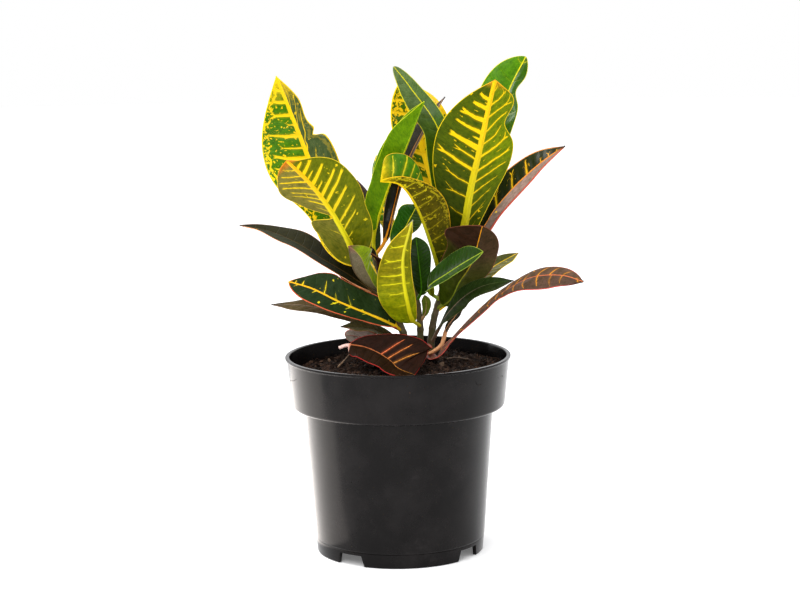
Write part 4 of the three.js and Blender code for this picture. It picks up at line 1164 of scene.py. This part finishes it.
grow("right_leaf_03", 183, halves=(17, 25), outline=[(0.8, 0.75)],
     midrib=[(31, 14, 196), (24, 20, 223), (16, 27, 250), (7, 31, 278), (4, 32, 290)],
     face=(0, -1, 0.2), fold=8,
     upper=(0.06, 0.13, 0.002), streak=(0.74, 0.46, 0.004),
     rib_band=2.6, edge_band=0.8, vein_band=1.4, veins=12, network=(1, 0), blotch=(0.42, 0.8))
# Its pale greyish tip is a painted highlight, the sheen of its glossy upper part.
grow("right_leaf_04", 182, halves=(12, 7), outline=[(0.7, 0.6), (0.7, 0.5)],
     midrib=[(31, 4, 203), (29, 6, 239), (26, 7, 263), (10, 6, 287), (-0.3, 4, 300.5)],
     face=(0.1, -0.9, 0.4), fold=(10, 20), wave=0.8,
     upper=((0.045, 0.09, 0.001), (0.05, 0.14, 0.002)), under=(0.24, 0.27, 0.05), rib=LEMON,
     edge=LEMON, tip=(0.14, 0.2, 0.07), tip_start=0.5,
     rib_band=0.7, veins=13, shine=1)
# Its dark base is painted shade from the leaves above.
grow("right_leaf_05", 164, halves=(23, 20), outline=[(0.45, 0.5), (0.6, 0.35)],
     midrib=[(22, -7, 190), (13, -17, 216), (3, -25, 231), (-9, -30, 234)],
     face=((1, -0.2, 0.5), (1, -0.2, 1)),
     cuts=[(1, 0.3, 0.85, 0.38), (1, 0.85, -0.25, 0.2), (-1, 0.95, 0.6, 0.2)], fold=(62, 50),
     wave=0.8, puff=0.6,
     upper=(0.06, 0.18, 0.002), under=((0.085, 0.065, 0.002), (0.1, 0.1, 0.002)),
     streak=((0.34, 0.26, 0.006), (0.62, 0.52, 0.01)), rib=((0.4, 0.38, 0.006), GOLD),
     edge=(0.65, 0.36, 0.01), tip=GOLD, base=(0.03, 0.045, 0.001), base_end=0.35,
     rib_band=1.6, lean=-0.05, network=(0.6, 0), blotch=(0.34, 0), freckle=0.6,
     veins=([(0.1, 0.7, 0.1), (0.2, 0.7, 0.12), (0.3, 0.75, 0.15), (0.4, 0.7, 0.12),
             (0.5, 0.75, 0.15), (0.6, 0.75, 0.15), (0.7, 0.8, 0.2), (0.8, 0.8, 0.2),
             (0.9, 0.7, 0.2)],
            [(0.12, 0.8, 0.3), (0.24, 0.85, 0.3), (0.35, 0.85, 0.35), (0.45, 0.9, 0.4),
             (0.53, 0.9, 0.4), (0.6, 0.9, 0.4), (0.67, 0.95, 0.4), (0.73, 0.95, 0.4),
             (0.79, 0.95, 0.4), (0.85, 0.95, 0.4), (0.91, 0.9, 0.35)]))
grow("right_leaf_06", 150, halves=(15, 24), outline=[(0.8, 0.5)],
     midrib=[(33, -3, 158), (38, -9, 169), (46, -17, 183), (52, -25, 205.5)],
     face=(0, 1, 0.3), fold=8, cup=-1.5, wave=0.8, waves=3, puff=0.9, stalk=6,
     upper=BOTTLE, under=((0.06, 0.032, 0.015), (0.035, 0.014, 0.006)), streak=UMBER,
     rib=((0.2, 0.24, 0.02), AMBER), edge=(0.15, 0.05, 0.025), base=(0.055, 0.085, 0.003),
     base_end=0.65,
     rib_band=0.3, veins=9, shine=0, old=True)
grow("right_leaf_07", 156, halves=(11, 5), outline=[(1.1, 0.7)],
     midrib=[(19, -17, 167), (32, -30, 178.5), (41.6, -39, 186), (51.5, -46, 192.7)],
     face=(-0.25, -0.8, 0.5), fold=8, wave=0.5, puff=0.9,
     upper=((0.015, 0.045, 0.001), (0.02, 0.06, 0.001)), rib=(0.3, 0.4, 0.02),
     edge=(0.25, 0.35, 0.03),
     edge_band=0.25, veins=18, shine=0.6)
grow("right_leaf_08", 148, halves=10, outline=[(0.8, 0.9)],
     midrib=[(42, 12, 161), (60, 26, 172.5), (77, 38, 180)],
     face=(-0.3, -0.5, 0.8), wave=0.5,
     upper=((0.08, 0.085, 0.006), (0.14, 0.13, 0.008)), tip=UMBER,
     rib_band=0.7, freckle=0.2)
grow("right_leaf_09", 128, halves=(9, 11), outline=[(0.9, 1)],
     midrib=[(29, -10, 147), (40, -21, 161), (53, -31, 170), (70, -38, 174)],
     face=(0, -0.65, 0.75), fold=12, cup=-1, wave=0.5, stalk=16,
     upper=((0.016, 0.03, 0.005), (0.018, 0.03, 0.006)), under=SMOKE, rib=(SMOKE, DEEP),
     edge=(0.08, 0.07, 0.03), tip=SOOT,
     veins=14, old=True)
grow("right_leaf_10", 122, halves=(6, 7), outline=[(0.8, 0.9)],
     midrib=[(20, 0, 123.5), (26.8, -4, 129), (30, -3.5, 138.4), (36.8, -3, 147.7),
             (44.5, -4, 157)],
     face=(-0.5, -0.3, 0.8), fold=12, wave=0.5, stalk=30, stalk_half=1.6,
     upper=(0.035, 0.035, 0.015), under=SMOKE, rib=((0.75, 0.36, 0.17), (0.7, 0.6, 0.2)),
     edge=SMOKE, tip=SOOT,
     rib_band=0.8, old=True)
grow("right_leaf_11", 120, halves=(9, 17), outline=[(2.2, 0.8)],
     midrib=[(23.4, -14, 123), (31.3, -20, 133.3), (41.5, -30, 146.6), (54.3, -45, 160.7),
             (66.2, -60, 172.4), (79.5, -75, 181.3), (95.2, -88, 184), (106.7, -99, 182)],
     face=(-0.1, -0.5, 0.85), fold=(12, 8), cup=-1, wave=0.6, stalk_half=3,
     upper=((0.12, 0.065, 0.045), (0.095, 0.05, 0.035)), under=SMOKE, streak=AMBER,
     rib=((0.16, 0.06, 0.045), (0.6, 0.16, 0.06)), edge=(0.5, 0.08, 0.06), tip=SOOT,
     tip_start=0.97,
     rib_band=0.8, edge_band=0.6, vein_band=0.18, veins=16, freckle=0.2, old=True)
# Its dark base is painted shade from the leaves above.
grow("right_leaf_12", 170, halves=(18, 8), outline=[(1, 1), (0.7, 0.9)],
     midrib=[(43, 5, 182), (56, 4, 197.5), (65, 2, 210.5), (82, 0, 229), (91.5, 0, 239.5),
             (104, 1, 251)],
     face=(-0.3, -0.9, 0.4), fold=(8, 115),
     upper=((0.02, 0.026, 0.004), (0.02, 0.03, 0.005)),
     under=((0.42, 0.3, 0.26), (0.38, 0.24, 0.2)), streak=(GOLD, (0.85, 0.4, 0.01)),
     rib=((0.5, 0.08, 0.05), (0.6, 0.1, 0.05)), edge=(0.75, 0.25, 0.03), tip=SOOT, tip_start=0.96,
     base=(0.01, 0.014, 0.003),
     rib_band=1, edge_band=0.6, lean=(0.02, 0), fork=2, freckle=0.25,
     veins=([(0.15, 0.3, 0), (0.24, 0.35, 0.25), (0.32, 0.3, 0), (0.41, 0.75, 0.62),
             (0.48, 0.3, 0), (0.555, 0.85, 0.7), (0.62, 0.3, 0), (0.69, 0.85, 0.85),
             (0.745, 0.2, 0.6), (0.81, 0.5, 0.35), (0.87, 0.6, 0.35), (0.93, 0.6, 0.3)],
            [(0.2, 0.3, 0), (0.4, 0.3, 0), (0.6, 0.3, 0), (0.8, 0.3, 0)]))
grow("right_leaf_13", 174, halves=16,
     midrib=[(37, 26, 190), (47, 48, 222), (55, 64, 248)],
     face=(-0.5, -0.7, 0.5), cup=-1, stalk=12,
     upper=(GREEN, BRIGHT),
     rib_band=1.8, edge_band=0.5, vein_band=0.8, veins=10, network=0.7, blotch=0.15, freckle=0.2)
grow("right_leaf_14", 152, halves=12,
     midrib=[(38, 30, 166), (50, 54, 180), (58, 80, 184)],
     face=(-0.3, -0.5, 1), cup=-1, stalk=12,
     upper=(DEEP, BOTTLE), under=(UMBER, PLUM), streak=AMBER, rib=AMBER, edge=RED,
     rib_band=0.9, vein_band=0.4, veins=10, freckle=0.3, old=True)
grow("fallen_leaf", None, halves=(26, 13), outline=[(1, 0.32), (0.3, 0.5)],
     midrib=[(-36, -17, 130.5), (-30, -17.5, 132.3), (-21.5, -19, 131.5), (-13, -24, 129),
             (-4.8, -31, 124.8), (0.5, -36, 120.6), (10, -41.5, 117.7)],
     face=((0, -0.82, 0.57), (-0.1, -0.45, 0.9)), slant=14, fold=(8, 20), wave=0.6, puff=0.3,
     stalk=6,
     upper=((0.02, 0.0065, 0.0035), (0.02, 0.008, 0.0035)), under=SMOKE,
     streak=((0.75, 0.13, 0.06), (0.6, 0.35, 0.03)), rib=((0.42, 0.12, 0.04), (0.5, 0.2, 0.03)),
     edge=(0.4, 0.03, 0.025), foot_hue=(0.8, 0.52, 0.46),
     rib_band=0.35, edge_band=0.45, shine=0, old=True,
     veins=([(0.12, 0.5, 0), (0.25, 0.5, 0), (0.36, 0.5, 0), (0.46, 0.78, 0.26), (0.57, 0.72, 0.2),
             (0.67, 0.65, 0.16), (0.78, 0.5, 0), (0.88, 0.5, 0)],
            [(0.12, 0.5, 0), (0.25, 0.5, 0), (0.38, 0.5, 0), (0.5, 0.4, 0), (0.62, 0.5, 0),
             (0.74, 0.5, 0), (0.86, 0.5, 0)]))
